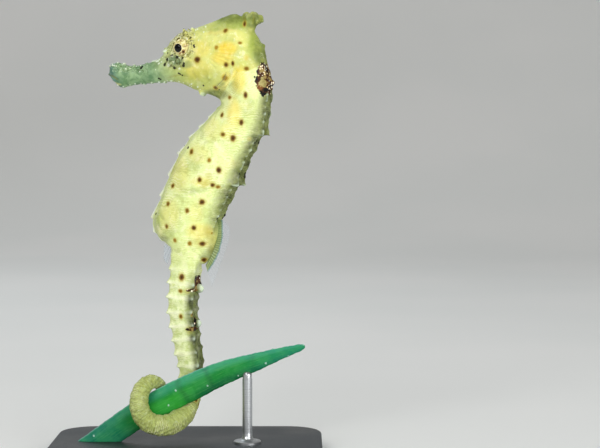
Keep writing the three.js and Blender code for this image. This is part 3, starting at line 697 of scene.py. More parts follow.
# Zones of the skin: x, z, half width, half height, and a strength where it isn't 1
ZONES = {
    "saddle": [
        (17.3, 84.0, 2.6, 4.4), (2.1, 39.4, 0.4, 1.9), (1.6, 37.6, 1.1, 0.5), (1.9, 31.1, 0.35, 1.9),
        (1.3, 29.0, 1.3, 0.6), (0.4, 37.5, 0.7, 0.3), (0.3, 28.9, 0.7, 0.45),
    ],
    # The smooth cream part of the saddle of the neck
    "cream": [
        (16.9, 83.2, 1.1, 1.5), (17.9, 85.2, 0.45, 0.5, 0.7), (1.2, 37.5, 0.5, 0.3, 0.8),
        (0.9, 29.0, 0.6, 0.4, 0.8),
    ],
    # Its beaded part
    "beaded": [
        (17.4, 86.3, 2.0, 1.9), (18.6, 82.6, 0.9, 1.9, 0.8), (0.4, 37.5, 0.9, 0.6, 0.3),
        (0.3, 28.9, 0.9, 0.7, 0.3),
    ],
    # Its rust-coloured part
    "rust": [(15.8, 81.8, 1.3, 1.8), (18.9, 80.8, 0.9, 0.8, 0.8)],
    # The mottled skin round the eye
    "eye_mottle": [(-0.7, 91.2, 3.3, 3.5), (-2.2, 88.0, 2.9, 2.2, 0.8), (0.3, 94.0, 2.0, 1.6, 0.8)],
    # The dusky skin under the eye
    "dusky": [(-2.4, 87.9, 2.4, 1.6), (0.2, 87.2, 1.8, 1.0, 0.6)],
    "gold": [
        (9.1, 90.6, 2.6, 1.9), (8.0, 88.8, 2.8, 2.0, 0.65), (11.6, 83.9, 1.8, 3.6, 0.8),
        (10.6, 76.4, 1.8, 4.2, 0.6), (9.0, 72.5, 2.2, 2.2, 0.35), (3.6, 61.5, 3.2, 1.3, 0.4),
        (3.2, 50.6, 3.6, 2.2, 0.5), (3.4, 90.6, 2.6, 2.2, 0.4), (-0.6, 92.6, 2.6, 1.6, 0.35),
        (2.2, 54.4, 2.0, 3.0, 0.25), (5.6, 48.6, 1.6, 3.2, 0.4), (2.6, 86.0, 3.4, 2.6, 0.35),
        (9.0, 84.6, 1.4, 1.2, 0.5), (13.2, 88.6, 0.7, 0.7, 0.4), (-1.5, 63.5, 2.6, 5.0, 0.3),
        (-3.6, 54.5, 2.6, 4.0, 0.3), (2.6, 67.5, 3.0, 2.6, 0.25), (6.0, 73.0, 2.4, 3.0, 0.25),
    ],
    # Greener skin: partly its own tone, partly painted shade where the crown, throat, nape and belly edges turn
    # away from the light
    "green_and_shade": [
        (10.5, 96.6, 5.4, 2.4), (6.6, 95.2, 2.8, 1.4, 0.6), (3.5, 84.0, 4.2, 2.8, 0.6), (15.6, 91.0, 2.4, 4.6),
        (-4.2, 67.2, 3.2, 1.6, 0.35), (-1.2, 64.2, 3.4, 0.9, 0.4), (-4.2, 49.9, 1.6, 1.4, 0.6),
        (-5.6, 53.5, 1.0, 2.2, 0.5), (0.5, 59.6, 3.4, 0.7, 0.4), (-4.5, 46.5, 2.0, 1.0, 0.3),
        (-2.0, 85.2, 4.0, 2.2, 0.6), (3.0, 95.0, 3.5, 1.0, 0.35), (6.0, 84.0, 3.0, 2.6, 0.4),
        (-2.0, 61.0, 2.4, 1.4, 0.3), (14.4, 76.0, 2.0, 5.0, 0.3),
    ],
    # Darker olive: partly its own tone, partly painted shade under and behind the crown, on the throat and down the
    # back of the head
    "olive_and_shade": [
        (15.2, 96.8, 2.8, 2.4), (10.6, 97.6, 5.2, 1.8, 0.85), (16.5, 90.2, 1.9, 4.4, 0.65),
        (6.9, 80.7, 3.2, 1.4, 0.95), (7.9, 82.6, 1.3, 0.9, 0.5), (10.6, 82.3, 1.4, 1.6, 0.35),
        (5.6, 46.0, 1.4, 2.0, 0.35), (-4.8, 48.8, 1.4, 0.9, 0.5), (-6.4, 52.6, 0.8, 2.4, 0.4),
        (14.4, 95.0, 1.6, 1.6, 0.4), (-2.0, 87.8, 1.6, 1.3, 0.4),
    ],
    # Almost clear parts, painted pale for the light that shines through them
    "pale": [
        (3.85, 80.5, 0.9, 0.7), (3.5, 38.1, 0.7, 1.3), (3.0, 30.4, 0.6, 1.2), (-4.6, 46.6, 0.9, 1.6, 0.5),
        (18.6, 82.7, 0.3, 0.3, 0.6),
    ],
}
# Lines of the flank to a ring, rays of the fan on the gill cover, and crumbs of the saddles to a metre
LINES_PER_RING, FAN_RAYS, CRUMBS = 7, 46.0, 2100
# Where the rays of that fan would meet
FAN_AT = (2.6, 90.2)


def zone_strength(view, zones):
    strength = np.zeros(len(view))
    for x, z, wide, tall, *more in zones:
        away = np.hypot((view[:, 0] - x) / wide, (view[:, 1] - z) / tall)
        strength = np.maximum(strength, (more[0] if more else 1) * (1 - smooth_step(0.45, 1.15, away)))
    return strength


def mark_distance(co, view, facing, marks, chance=None):
    """For each point, its distance from the nearest mark in that mark's radii, and how dark the mark is."""
    nearest = np.full(len(co), 6.0)
    darkness = np.ones(len(co))
    for x, z, radius, *more in marks:
        if chance is not None:
            if chance.random() < 0.12:
                continue
            x, z = x + chance.normal(0, 0.8), z + chance.normal(0, 0.8)
            radius = radius * chance.uniform(0.75, 1.15)
        tall = math.sqrt(more[0]) if more else 1.0
        off = np.where(facing, np.hypot(view[:, 0] - x, view[:, 1] - z), 99)
        centre = co[np.argmin(off)]
        away = (co - centre) * np.array([tall, 1, 1 / tall])
        distance = np.linalg.norm(away, axis=1) / radius
        closer = distance < nearest
        nearest = np.where(closer, distance, nearest)
        darkness = np.where(closer, more[1] if len(more) > 1 else 1.0, darkness)
    return nearest, darkness


# ---------------------------------------------------------------- fine shaping of the skin

# Creases (negative) and welts (positive) of the head: line, half width, height
HEAD_LINES = [
    ([(3.1, 81.9), (4.6, 83.2), (6.2, 84.55), (7.3, 85.4)], 0.35, -0.06),
    ([(10.5, 85.6), (10.4, 85.0), (9.9, 83.9), (8.8, 82.7), (7.5, 82.0)], 0.36, 0.3),
    ([(11.2, 86.2), (11.1, 84.9), (10.5, 83.4), (9.3, 82.0), (7.9, 81.2)], 0.4, -0.1),
    ([(4.6, 89.2), (5.7, 88.3), (6.8, 87.4), (7.5, 86.8)], 0.28, -0.07),
    ([(5.1, 87.9), (6.2, 86.8), (6.8, 86.1)], 0.2, -0.08),
    ([(8.4, 88.5), (9.5, 87.9)], 0.2, -0.08),
    ([(1.2, 86.4), (2.2, 84.6), (3.4, 82.8)], 0.4, -0.08),
    ([(2.4, 93.4), (6.0, 94.0), (10.0, 94.6), (13.0, 94.2)], 0.7, 0.1),
    ([(-5.2, 88.6), (-3.6, 88.9), (-2.2, 88.2), (-0.6, 87.9)], 0.3, -0.12),
    ([(-0.2, 88.4), (0.6, 89.4), (1.6, 90.2)], 0.2, -0.1),
    ([(0.2, 87.2), (1.0, 88.6), (1.9, 89.7)], 0.2, -0.08),
    ([(-4.4, 84.1), (-1.4, 84.9), (1.0, 84.4)], 0.3, -0.12),
    ([(-17.6, 85.2), (-15.9, 84.5), (-14.6, 83.6)], 0.22, -0.3),
    ([(-16.2, 83.6), (-14.8, 82.9), (-13.6, 82.7)], 0.4, 0.1),
    ([(14.9, 98.6), (15.0, 97.2), (14.5, 95.6)], 0.25, -0.3),
    ([(13.0, 97.8), (12.9, 96.6), (12.6, 95.2)], 0.3, -0.15),
    ([(16.6, 97.4), (16.3, 96.4), (15.4, 95.6)], 0.2, -0.2),
]
# Soft folds of the flank, likewise
FLANK_LINES = [
    ([(-2.2, 66.0), (0.2, 64.6), (3.4, 64.4)], 0.5, -0.2),
    ([(-4.0, 62.0), (-1.8, 60.2), (0.6, 58.6)], 0.5, -0.16),
    ([(-5.0, 59.0), (-2.4, 58.6), (1.0, 58.8), (4.5, 59.4)], 0.6, -0.2),
    ([(0.0, 60.8), (3.0, 61.2), (6.4, 60.6), (9.4, 60.4)], 0.5, -0.14),
    ([(-6.4, 54.6), (-5.0, 53.0), (-4.6, 51.0)], 0.4, -0.25),
    ([(-3.4, 50.2), (0.0, 49.8), (4.2, 49.6)], 0.5, -0.12),
    ([(4.0, 72.4), (7.0, 70.0), (9.0, 67.4)], 0.7, -0.12),
    ([(8.0, 77.8), (10.5, 76.6), (13.0, 76.4), (16.0, 76.8)], 0.6, -0.12),
    ([(0.2, 56.6), (3.4, 55.6), (7.0, 55.6)], 0.5, -0.12),
]
# Pale beads on the edges of the snout, throat and cheek: x, z, radius, height
BEADS = [
    (-17.3, 85.0, 0.32, 0.35), (-16.9, 86.7, 0.28, 0.25), (-14.4, 82.1, 0.3, 0.25), (-13.6, 81.8, 0.3, 0.25),
    (-9.1, 83.0, 0.26, 0.35), (-4.7, 83.3, 0.26, 0.35), (-11.4, 87.3, 0.26, 0.25), (-8.5, 87.6, 0.26, 0.25),
    (-5.9, 87.9, 0.26, 0.22), (-3.6, 87.1, 0.5, 0.3), (-13.2, 87.2, 0.25, 0.2), (-4.6, 89.9, 0.26, 0.3),
    (1.4, 83.0, 0.25, 0.22), (2.7, 82.3, 0.25, 0.22), (-1.3, 86.3, 0.3, 0.15), (-15.2, 88.0, 0.3, 0.2),
    (8.5, 60.8, 0.3, 0.25), (12.6, 70.4, 0.35, 0.3), (-10.0, 85.6, 0.2, 0.15), (-6.5, 86.0, 0.2, 0.12),
]


def shape_details(skin, view, zone, ring, turn):
    """Raises the welts and beads, cuts the creases, and puts the fine folds in the skin."""
    co, normals = points_of(skin), normals_of(skin)
    on_head, on_trunk, on_tail = zone == HEAD, zone == TRUNK, zone == TAIL_ZONE
    flank = smooth_step(0.25, 0.6, np.abs(normals @ SIDEWAYS))
    lift, crease, welt, pale = (np.zeros(len(co)) for _ in range(4))
    for line, width, height in HEAD_LINES:
        distance, place = from_line(view, line)
        drawn = bump(distance, width) * np.sin(np.clip(place, 0.04, 0.96) * math.pi) ** 0.5
        if height < 0 or width > 0.3:
            drawn = drawn * flank
        lift += height * drawn
        kind = crease if height < 0 else welt
        np.maximum(kind, drawn * min(1.0, abs(height) / 0.14), out=kind)
    fan_x, fan_z = view[:, 0] - FAN_AT[0], view[:, 1] - FAN_AT[1]
    fan_angle, fan_reach = np.arctan2(fan_z, fan_x), np.hypot(fan_x, fan_z)
    fan = smooth_step(3.6, 4.8, fan_reach) * (1 - smooth_step(7.2, 8.6, fan_reach))
    fan = fan * smooth_step(-0.62, -0.4, fan_angle) * (1 - smooth_step(0.2, 0.36, fan_angle)) * on_head * flank
    lift += 0.03 * fan * np.sin(fan_angle * FAN_RAYS)
    chance = np.random.default_rng(12)
    beads = list(BEADS)
    for _ in range(90):
        x, top, under, _ = spline(HEAD_STATIONS, chance.uniform(1.0, 13.5))
        share = chance.choice([0.97, 0.9, 0.8, 0.03], p=[0.4, 0.2, 0.15, 0.25])
        beads.append((x + chance.normal(0, 0.15), under + share * (top - under),
                      chance.uniform(0.16, 0.24), chance.uniform(0.08, 0.2)))
    for x, z, radius, height in beads:
        bead = bump(np.hypot(view[:, 0] - x, view[:, 1] - z), radius)
        pale = np.maximum(pale, bead * on_head)
        lift += height * bead
    corner = turn * TRUNK_CORNERS
    whole_ring = ring * FULL_TURN
    folds = np.sin(whole_ring * 5 + 1.6 * ripple(co, 5, 11)) * (0.5 + 0.5 * ripple(co, 7, 3))
    lift += 0.006 * folds * on_trunk
    notch = bump(np.abs(ring - np.round(ring)), 0.1) * smooth_step(3.5, 5.5, ring) * on_trunk
    lift -= 0.07 * notch * (0.6 + 0.4 * ripple(co, 3, 17))
    lift += 0.003 * np.sin(whole_ring * 4 + 2 * ripple(co, 4, 8)) * on_tail
    for line, width, height in FLANK_LINES:
        distance, place = from_line(view, line)
        lift += height * bump(distance, width) * np.sin(np.clip(place, 0.03, 0.97) * math.pi) ** 0.5 * on_trunk
    back_edge = bump(np.minimum(np.abs(corner - 1), np.abs(TRUNK_CORNERS - 1 - corner)), 0.3) * on_trunk
    lift += back_edge * 0.14 * (0.5 + 0.5 * np.cos(whole_ring * 2.5)) ** 3
    coiled = on_tail * smooth_step(COILED_RINGS - 2, COILED_RINGS + 2, ring)
    bristle = np.sin(whole_ring * 3 + 2.5 * ripple(co, 1.5, 22)) * ripple(co, 0.9, 23)
    lift += coiled * (0.07 * ripple(co, 0.7, 21) + 0.09 * bristle)
    lift += 0.035 * ripple(co, 1.6, 31) + 0.06 * ripple(co, 4.5, 33)
    move_points(skin, co + normals * lift[:, None])
    return {"crease": crease * on_head, "welt": welt * on_head, "bead": pale, "fan_angle": fan_angle, "fan": fan}


def mark_skin(skin):
    """Shapes the fine details, then stores for each point what its finish goes by."""
    co = points_of(skin)
    zone, ring, turn = body_places(co)
    laid, far = mirror_to_left(co, zone, ring)
    given = shape_details(skin, pictured(laid), zone, ring, turn)
    co, normals = points_of(skin), normals_of(skin)
    laid, far = mirror_to_left(co, zone, ring)
    view = pictured(laid)
    x, z = view.T
    facing = (~far) & (((EYE_POINT - co) * normals).sum(axis=1) > 0)
    left_spots, left_dark = mark_distance(co, view, facing, SPOTS)
    right_spots, right_dark = mark_distance(laid, view, far, SPOTS, np.random.default_rng(4))
    left_specks = mark_distance(co, view, facing, SPECKS)[0]
    right_specks = mark_distance(laid, view, far, SPECKS)[0]
    on_tail, on_trunk, on_head = zone == TAIL_ZONE, zone == TRUNK, zone == HEAD
    count = np.where(on_tail, TAIL_CORNERS, TRUNK_CORNERS)
    corner = turn * count
    from_back = np.minimum(corner, count - corner)
    coiled = on_tail * smooth_step(COILED_RINGS - 2.5, COILED_RINGS + 1.5, ring)
    uncoiled = 1 - coiled
    confined = {"saddle": uncoiled, "cream": uncoiled, "beaded": uncoiled, "rust": uncoiled,
                "eye_mottle": on_head, "dusky": on_head}
    for name, zones in ZONES.items():
        given[name] = zone_strength(view, zones) * confined.get(name, 1)
    coil_saddle = coiled * 0.35 * smooth_step(0.25, 0.9, ripple(co, 5, 51)) * smooth_step(2.2, 3.4, from_back)
    # The band along the back: darker olive skin deepened with painted shade where the back turns away from the
    # light; it runs, weaker, up the nape.
    nape = smooth_step(14.6, 17.2, x + 0.1 * (z - 85)) * on_head * smooth_step(91.5, 89.5, z)
    band = np.where(on_head, 0.4 * nape, 1 - smooth_step(1.1, np.where(on_tail, 1.75, 1.8), from_back))
    band = band * np.where(on_tail, smooth_step(0.3, 3.0, ring), 1)
    root = bump((z - 48.6) / 5.0, 1.0) * on_trunk
    edges = edges_of(skin)
    proud = ((co - smoothed(co, edges, 24)) * normals).sum(axis=1)
    belly_thorn = on_tail * uncoiled * smooth_step(0.12, 0.4, proud)
    # Painted light: raised points, the thorns of the tail and the almost clear parts are made pale, as if lit
    # through.
    thin = np.maximum(np.maximum(smooth_step(0.1, 0.34, proud), belly_thorn), given.pop("pale"))
    broad_normals = unit(smoothed(normals, edges, 30))
    on_snout = (1 - smooth_step(-9.5, -7.0, x)) * smooth_step(84.6, 86.2, z)
    round_eye = bump(np.maximum(0, np.hypot(x + 1.2, z - 91.3) - 2.2), 0.9)
    given |= {
        "spot": np.where(far, right_spots, left_spots),
        "dark": np.where(far, right_dark, left_dark),
        "speck": np.where(far, right_specks, left_specks),
        "smudge": mark_distance(laid, view, facing | far, SMUDGES)[0],
        "saddle": np.clip(given["saddle"] + coil_saddle, 0, 1),
        "snout": on_head * (1 - smooth_step(-8.0, -0.6, x + 0.35 * (z - 86))),
        "lips": on_head * (1 - smooth_step(-16.9, -14.2, x + 0.25 * (z - 86))),
        "dust": on_head * np.maximum(0.8 * on_snout, round_eye),
        "head": on_head * smooth_step(-4.5, 0.5, x),
        "tail": on_tail * uncoiled * smooth_step(-0.8, 3.0, ring),
        "coil": coiled,
        "round_x": np.cos(corner * FULL_TURN / TAIL_CORNERS) * on_tail,
        "round_y": np.sin(corner * FULL_TURN / TAIL_CORNERS) * on_tail,
        "back": np.clip(band, 0, 1) * np.where(on_trunk, smooth_step(0, 2, ring), 1) * uncoiled * (1 - 0.7 * root),
        "keel": on_trunk * bump(np.abs(corner - KEEL), 0.55) * smooth_step(2.5, 4, ring),
        # Painted light along the edge of the keel
        "rim": on_trunk * smooth_step(2.5, 4.0, ring) * bump(np.abs(corner - KEEL), 0.5),
        "ring": ring,
        "lined": np.where(on_head, 0, 1),
        "proud": proud,
        "thin": thin * (1 - given["olive_and_shade"] * on_head),
        # Painted shade: strongest where the broad surface turns away from the side, greening and darkening the
        # edges.
        "turned": (1 - smooth_step(0.25, 0.85, np.abs(broad_normals @ SIDEWAYS))) * uncoiled,
    }
    for name, values in given.items():
        give(skin, name, values)


# ---------------------------------------------------------------- finishes


def tint(code):
    """A colour from its six-figure code, as light."""
    parts = [int(code[i:i + 2], 16) / 255 for i in (0, 2, 4)]
    return tuple(p / 12.92 if p <= 0.04045 else ((p + 0.055) / 1.055) ** 2.4 for p in parts) + (1.0,)


class Value:
    """A number of a finish that changes from point to point."""

    def __init__(self, finish, socket):
        self.finish, self.socket = finish, socket

    def math(self, operation, *others):
        values = (self, *others, 0.0, 0.0)[:3]
        return Value(self.finish, self.finish.node("Math", dict(enumerate(values)), operation=operation)[0])

    def __add__(self, other):
        return self.math("ADD", other)

    def __sub__(self, other):
        return self.math("SUBTRACT", other)

    def __mul__(self, other):
        return self.math("MULTIPLY", other)

    def line(self, slope, start):
        return self.math("MULTIPLY_ADD", slope, start)

    def span(self, low, high, to_low=0.0, to_high=1.0):
        """Runs smoothly from to_low to to_high while the value runs from low to high."""
        inputs = {"Value": self, "From Min": low, "From Max": high, "To Min": to_low, "To Max": to_high}
        return Value(self.finish, self.finish.node("MapRange", inputs, interpolation_type="SMOOTHSTEP")["Result"])


class Finish:
    """One material and the nodes it is made of. Its colour is built up coat by coat."""

    def __init__(self, name, **settings):
        self.material = bpy.data.materials.new(name)
        self.material.use_nodes = True
        self.tree = self.material.node_tree
        self.surface = self.tree.nodes["Principled BSDF"]
        self.set(**settings)

    def set(self, **settings):
        for key, value in settings.items():
            self.join(value, self.surface.inputs[key.replace("_", " ")])

    def join(self, value, socket):
        value = tint(value) if isinstance(value, str) else getattr(value, "socket", value)
        if isinstance(value, bpy.types.NodeSocket):
            self.tree.links.new(value, socket)
        else:
            socket.default_value = value

    def node(self, kind, inputs, **settings):
        node = self.tree.nodes.new("ShaderNode" + kind)
        for key, value in settings.items():
            setattr(node, key, value)
        for key, value in inputs.items():
            self.join(value, node.inputs[key])
        return node.outputs

    def __getitem__(self, name):
        """The number that give() stored under this name."""
        return Value(self, self.node("Attribute", {}, attribute_name=name)["Fac"])

    def place(self):
        return self.node("TexCoord", {})["Object"]

    def parts(self, kind, whole):
        return [Value(self, part) for part in self.node(kind, {0: whole})]

    def noise(self, scale, detail=3.0, rough=0.5, at=None, warp=0.0):
        vector = self.place() if at is None else at
        inputs = {"Vector": vector, "Scale": scale, "Detail": detail, "Roughness": rough, "Distortion": warp}
        return Value(self, self.node("TexNoise", inputs)["Fac"])

    def cells(self, scale, feature="F1", output="Distance"):
        inputs = {"Vector": self.place(), "Scale": scale}
        return Value(self, self.node("TexVoronoi", inputs, feature=feature)[output])

    def blend(self, amount, a, b):
        return self.node("Mix", {"Factor": amount, 6: a, 7: b}, data_type="RGBA")[2]

    def coat(self, amount, tone):
        """Lays a tone over the colour so far, as thickly as the amount says."""
        self.colour = self.blend(amount, self.colour, tone)

    def vector(self, *parts):
        return self.node("CombineXYZ", dict(enumerate(parts)))[0]

    def bumps(self, height, distance, strength):
        return self.node("Bump", {"Strength": strength, "Distance": distance, "Height": height})[0]

    def done(self, **settings):
        self.set(Base_Color=self.colour, **settings)
        return self.material


def paper_finish():
    paper = Finish("pale_paper", Roughness=0.85)
    paper.colour = paper.blend(paper.noise(6, 2).span(0.35, 0.65), "eef0f0", "f2f3f3")
    _, depth, _ = paper.parts("SeparateXYZ", paper.place())
    # Painted shade: the paper darkens towards the front, holding down the lamps' glare there.
    paper.coat(depth.span(-0.16, -0.5), "9a9b9b")
    return paper.done()


def ground_coats(skin, fine):
    """The pale ground of the body with its broad patches; the tones of head, tail, coil and snout; painted shade
    along the back and where the skin turns away from the side; and green and olive patches that are partly painted
    shade.
    """
    skin.colour = skin.blend(skin.noise(110, 2).span(0.35, 0.65), "e6f0aa", "dae79c")
    skin.coat(skin["head"] * 0.55, skin.blend(fine.span(0.35, 0.65), "c8c44e", "d9cf5c"))
    skin.coat(skin.noise(190, 3, 0.55, warp=0.6).span(0.5, 0.68) * 0.5, "bccb84")
    skin.coat(skin.noise(150, 2, 0.5).span(0.56, 0.72) * 0.28, "efdd94")
    skin.coat(skin.noise(420, 4, 0.62, warp=0.5).span(0.54, 0.66) * 0.45, "f2f4cc")
    flecks = skin.noise(1500, 4, 0.7)
    skin.coat(flecks.span(0.58, 0.66, 0.0, 0.4), "f8f8dc")
    skin.coat(flecks.span(0.42, 0.34, 0.0, 0.35), "b4b458")
    skin.coat(skin.noise(360, 4, 0.6, warp=0.8).span(0.47, 0.36) * 0.4, "aebb62")
    for name, grain, strength, tone in (
        # painted shade on the edges that turn away from the side
        ("turned", (0.3, 0.7, 0.7, 1.0), 0.5, "96a650"),
        ("green_and_shade", (0.3, 0.7, 0.6, 1.0), 0.85, "8b9f3c"),
        ("gold", (0.2, 0.6, 0.7, 1.0), 0.75, "efd034"),
        ("olive_and_shade", (0.25, 0.65, 0.6, 1.0), 0.9, "5c692a"),
    ):
        skin.coat(skin[name] * fine.span(*grain) * strength, tone)
    skin.coat(skin["tail"] * 0.7, skin.blend(skin.noise(800, 4, 0.65).span(0.38, 0.62), "bccb86", "eaf2c8"))
    crest = (skin["ring"] * FULL_TURN).math("COSINE") + skin.noise(900, 3).line(1.6, -0.8)
    # Paler ring crests, and painted shade in the furrows between the rings
    skin.coat(skin["tail"] * crest.span(0.35, 1.0, 0.0, 0.5), "f4f6da")
    skin.coat(skin["tail"] * crest.span(-0.1, -0.9, 0.0, 0.22), "a9b668")
    coil_at = skin.vector(skin["ring"] * 7.0, skin["round_x"], skin["round_y"])
    hairs = skin.noise(1.5, 4, 0.65, at=coil_at, warp=0.7)
    coil_tone = skin.blend(hairs.span(0.36, 0.62), "747e30", "acbb68")
    coil_tone = skin.blend(skin.noise(1700, 4, 0.7).span(0.4, 0.62, 0.35, 0.0), coil_tone, "767a2e")
    skin.coat(skin["coil"] * 0.85, coil_tone)
    # Painted shade with the darker olive of the back: the dark band where the back turns from the light.
    back = skin["back"] * fine.span(0.25, 0.7, 0.7, 1.0)
    skin.coat(back * 0.97, skin.blend(skin.noise(650, 4, 0.65).span(0.4, 0.62), "202806", "505b1e"))
    # The snout is a clear grey green, with dark lips and granules above
    snout_tone = skin.blend(skin.noise(520, 4, 0.6, warp=0.5).span(0.36, 0.66), "517b55", "8aaa7f")
    skin.coat(skin["snout"] * 0.94, snout_tone)
    skin.coat(skin["lips"] * 0.85, skin.blend(fine.span(0.4, 0.6), "33605e", "4f7e78"))
    grains = skin.noise(2300, 4, 0.75)
    skin.coat(skin["dust"] * grains.span(0.5, 0.62), "45531f")
    skin.coat(skin["dust"] * grains.span(0.42, 0.36), "cfe0c0")
    return back, hairs


def line_coats(skin, back):
    """Fine lines round the body, the fan of the gill cover, painted shade in creases and hollows, and painted light
    making thin edges pale and lining the keel.
    """
    wander = (skin.noise(260, 3) + skin.noise(900, 3)) * 5.0
    waves = (skin["ring"] * (FULL_TURN * LINES_PER_RING) + wander * 3.0).math("SINE")
    lined = skin["lined"] * back.span(0.1, 0.7, 1.0, 0.15)
    skin.coat(waves.span(0.3, 1.0) * lined * skin.noise(260, 3, 0.6).span(0.44, 0.62, 0.04, 0.55), "f6f5cc")
    skin.coat(waves.span(-0.3, -1.0) * lined * skin.noise(340, 3, 0.6).span(0.45, 0.62, 0.0, 0.35), "b3b966")
    skin.coat((skin["fan_angle"] * FAN_RAYS).math("SINE").span(0.1, 1.0) * skin["fan"] * 0.2, "cf9c2c")
    # Painted shade in the creases of the head
    skin.coat(skin["crease"].span(0.15, 0.8, 0.0, 0.4), "8f8c34")
    skin.coat(skin["welt"].span(0.3, 0.9, 0.0, 0.55), "f2e58c")
    # Painted shade in the hollows, where the skin lies below its smoothed surface
    skin.coat(skin["proud"].span(-0.02, -0.22, 0.0, 0.6), "8b9340")
    # Painted light shining through the thin edges, spines and almost clear parts
    skin.coat(skin["thin"] * 0.75, "cfe0cc")
    skin.coat(skin["keel"] * 0.75, "94a94a")
    # Painted light: a pale line along the edge of the keel
    skin.coat(skin["rim"].span(0.2, 0.7, 0.0, 0.85), "f2f7e6")
    skin.coat(skin["bead"].span(0.35, 0.8, 0.0, 0.85), "e4efdc")
    return waves


def mark_coats(skin, fine):
    """Smudges and spots, then the crumbs of the saddles and the skin round the eye, then the specks."""
    rough_edge = skin.noise(1500, 3, 0.6).line(0.7, -0.35)
    blur_edge = skin.noise(700, 3, 0.6).line(1.0, -0.5)
    skin.coat((skin["smudge"] + blur_edge).span(0.2, 1.5, 0.4, 0.0), "c2b044")
    spot, dark = skin["spot"] + rough_edge, skin["dark"]
    skin.coat(spot.span(0.9, 2.1, 0.6, 0.0), "bcaa40")
    skin.coat(spot.span(0.7, 1.35, 0.95, 0.0), skin.blend(dark, "ac8818", "744f06"))
    core = spot.span(0.15, 0.95, 1.0, 0.0) * dark.span(0.1, 0.9)
    skin.coat(core, "3a1f02")
    chance, bead_tone, _ = skin.parts("SeparateColor", skin.cells(CRUMBS, output="Color"))
    clumps = skin.noise(480, 4, 0.6)
    mottle = skin.blend(clumps.span(0.46, 0.54), "0a0703", "4a260c")
    mottle = skin.blend(clumps.span(0.57, 0.62), mottle, "94814a")
    rust = skin["rust"] * clumps.span(0.38, 0.52)
    mottle = skin.blend(rust, mottle, skin.blend(fine.span(0.4, 0.6), "4f220a", "855426"))
    cream = (skin["cream"] + skin.noise(900, 4, 0.65).line(3.2, -1.7)).span(0.5, 0.7)
    mottle = skin.blend(cream, mottle, skin.blend(fine.span(0.35, 0.65), "857a42", "b5aa6e"))
    chosen = (chance - skin["beaded"].line(-0.45, 0.9)).span(0.0, 0.03)
    beads = chosen * skin.cells(CRUMBS).span(0.5, 0.38)
    mottle = skin.blend(beads, mottle, skin.blend(bead_tone, "dcc88a", "fdf8e6"))
    where = skin["saddle"] + skin.noise(560, 4, 0.65).line(2.2, -1.1)
    skin.coat((where * skin["saddle"].span(0.05, 0.3)).span(0.42, 0.56), mottle)
    smears = skin.noise(1100, 4, 0.65, warp=0.8)
    skin.coat(skin["eye_mottle"] * 0.55, "c2bd72")
    skin.coat(skin["dusky"] * fine.span(0.3, 0.6, 0.5, 0.9), "66805c")
    skin.coat(skin["eye_mottle"] * smears.span(0.51, 0.59, 0.0, 0.92), "44400f")
    skin.coat(skin["eye_mottle"] * smears.span(0.43, 0.37, 0.0, 0.8), "eef0d4")
    skin.coat((skin["speck"] + rough_edge).span(0.75, 1.2, 0.95, 0.0), "120d03")
    return core


def skin_finish():
    skin = Finish("seahorse_skin", Specular_IOR_Level=0.2, Coat_Roughness=0.22,
                  Subsurface_Radius=(1.0, 0.9, 0.4), Subsurface_Scale=0.0008)
    fine = skin.noise(700, 4, 0.6)
    back, hairs = ground_coats(skin, fine)
    waves = line_coats(skin, back)
    core = mark_coats(skin, fine)
    dull = skin["coil"] + skin["back"]
    grain = skin.noise(2400, 3, 0.6) + waves * 0.015 + skin.cells(1500, "SMOOTH_F1") * 0.7
    coarse = (skin.noise(1700, 4, 0.7) + hairs) * 3.2 * skin["coil"]
    return skin.done(
        Subsurface_Weight=core.span(0, 1, 0.28, 0.0),
        Coat_Weight=dull.span(0, 1, 0.1, 0.0),
        Roughness=fine.span(0.3, 0.7, 0.38, 0.55) + dull * 0.22,
        Normal=skin.bumps(grain + coarse, 0.00012, 0.55),
    )


skin = make_skin()
mark_skin(skin)
finish_piece(skin, skin_finish(), "skin",
             "snout", "head", "coronet", "neck", "trunk", "tail_1", "tail_2", "tail_3", "tail_4")

# ---------------------------------------------------------------- eyes

PUPIL_RADIUS = 0.92
# Brown marks of the eyeball, as the left side shows them: x, z, radius, how dark
EYE_MARKS = [(-1.9, 92.9, 0.42, 1.0), (-0.98, 92.35, 0.2, 1.0), (-1.4, 92.9, 0.3, 0.7), (0.1, 91.3, 0.5, 0.5),
             (-0.45, 90.0, 0.5, 0.8), (-1.2, 89.6, 0.4, 0.6), (-2.8, 92.0, 0.35, 0.5), (0.6, 92.6, 0.5, 0.5),
             (1.2, 91.6, 0.35, 0.9), (0.8, 89.9, 0.35, 0.6), (-2.6, 90.0, 0.3, 0.5), (-0.4, 92.9, 0.2, 0.7)]


def make_eye(name, side):
    """An eyeball with its pole on the pupil, the clear lens standing a little proud."""
    piece = ball((0, 0, 0), 1, 96)
    piece.name = name
    co = points_of(piece)
    gaze = unit(0.97 * side * SIDEWAYS - 0.16 * BACKWARD - 0.1 * UP)
    across = unit(np.cross(UP, gaze))
    polar = np.arccos(np.clip(co[:, 2], -1, 1))
    edge = math.asin(PUPIL_RADIUS / EYE_RADIUS)
    lens = 0.16 * (1 - smooth_step(0.5 * edge, 1.2 * edge, polar)) - 0.05 * bump(polar - 1.25 * edge, 0.12)
    turned = co @ np.array([across, np.cross(gaze, across), gaze])
    move_points(piece, in_animal(*EYE_AT, side * EYE_OUT) + turned * (EYE_RADIUS + lens)[:, None])
    placed = points_of(piece)
    past_middle = np.maximum(0, 2 * (placed @ SIDEWAYS)) if side > 0 else np.zeros(len(placed))
    view = pictured(placed - np.outer(past_middle, SIDEWAYS))
    marked = np.zeros(len(placed))
    for x, z, radius, dark in EYE_MARKS:
        marked = np.maximum(marked, dark * bump(np.hypot(view[:, 0] - x, view[:, 1] - z), radius))
    give(piece, "polar", polar / edge)
    give(piece, "mark", marked)
    give(piece, "left_right", co[:, 0] / np.maximum(np.sin(polar), 1e-3))
    give(piece, "up_down", co[:, 1] / np.maximum(np.sin(polar), 1e-3))
    return piece


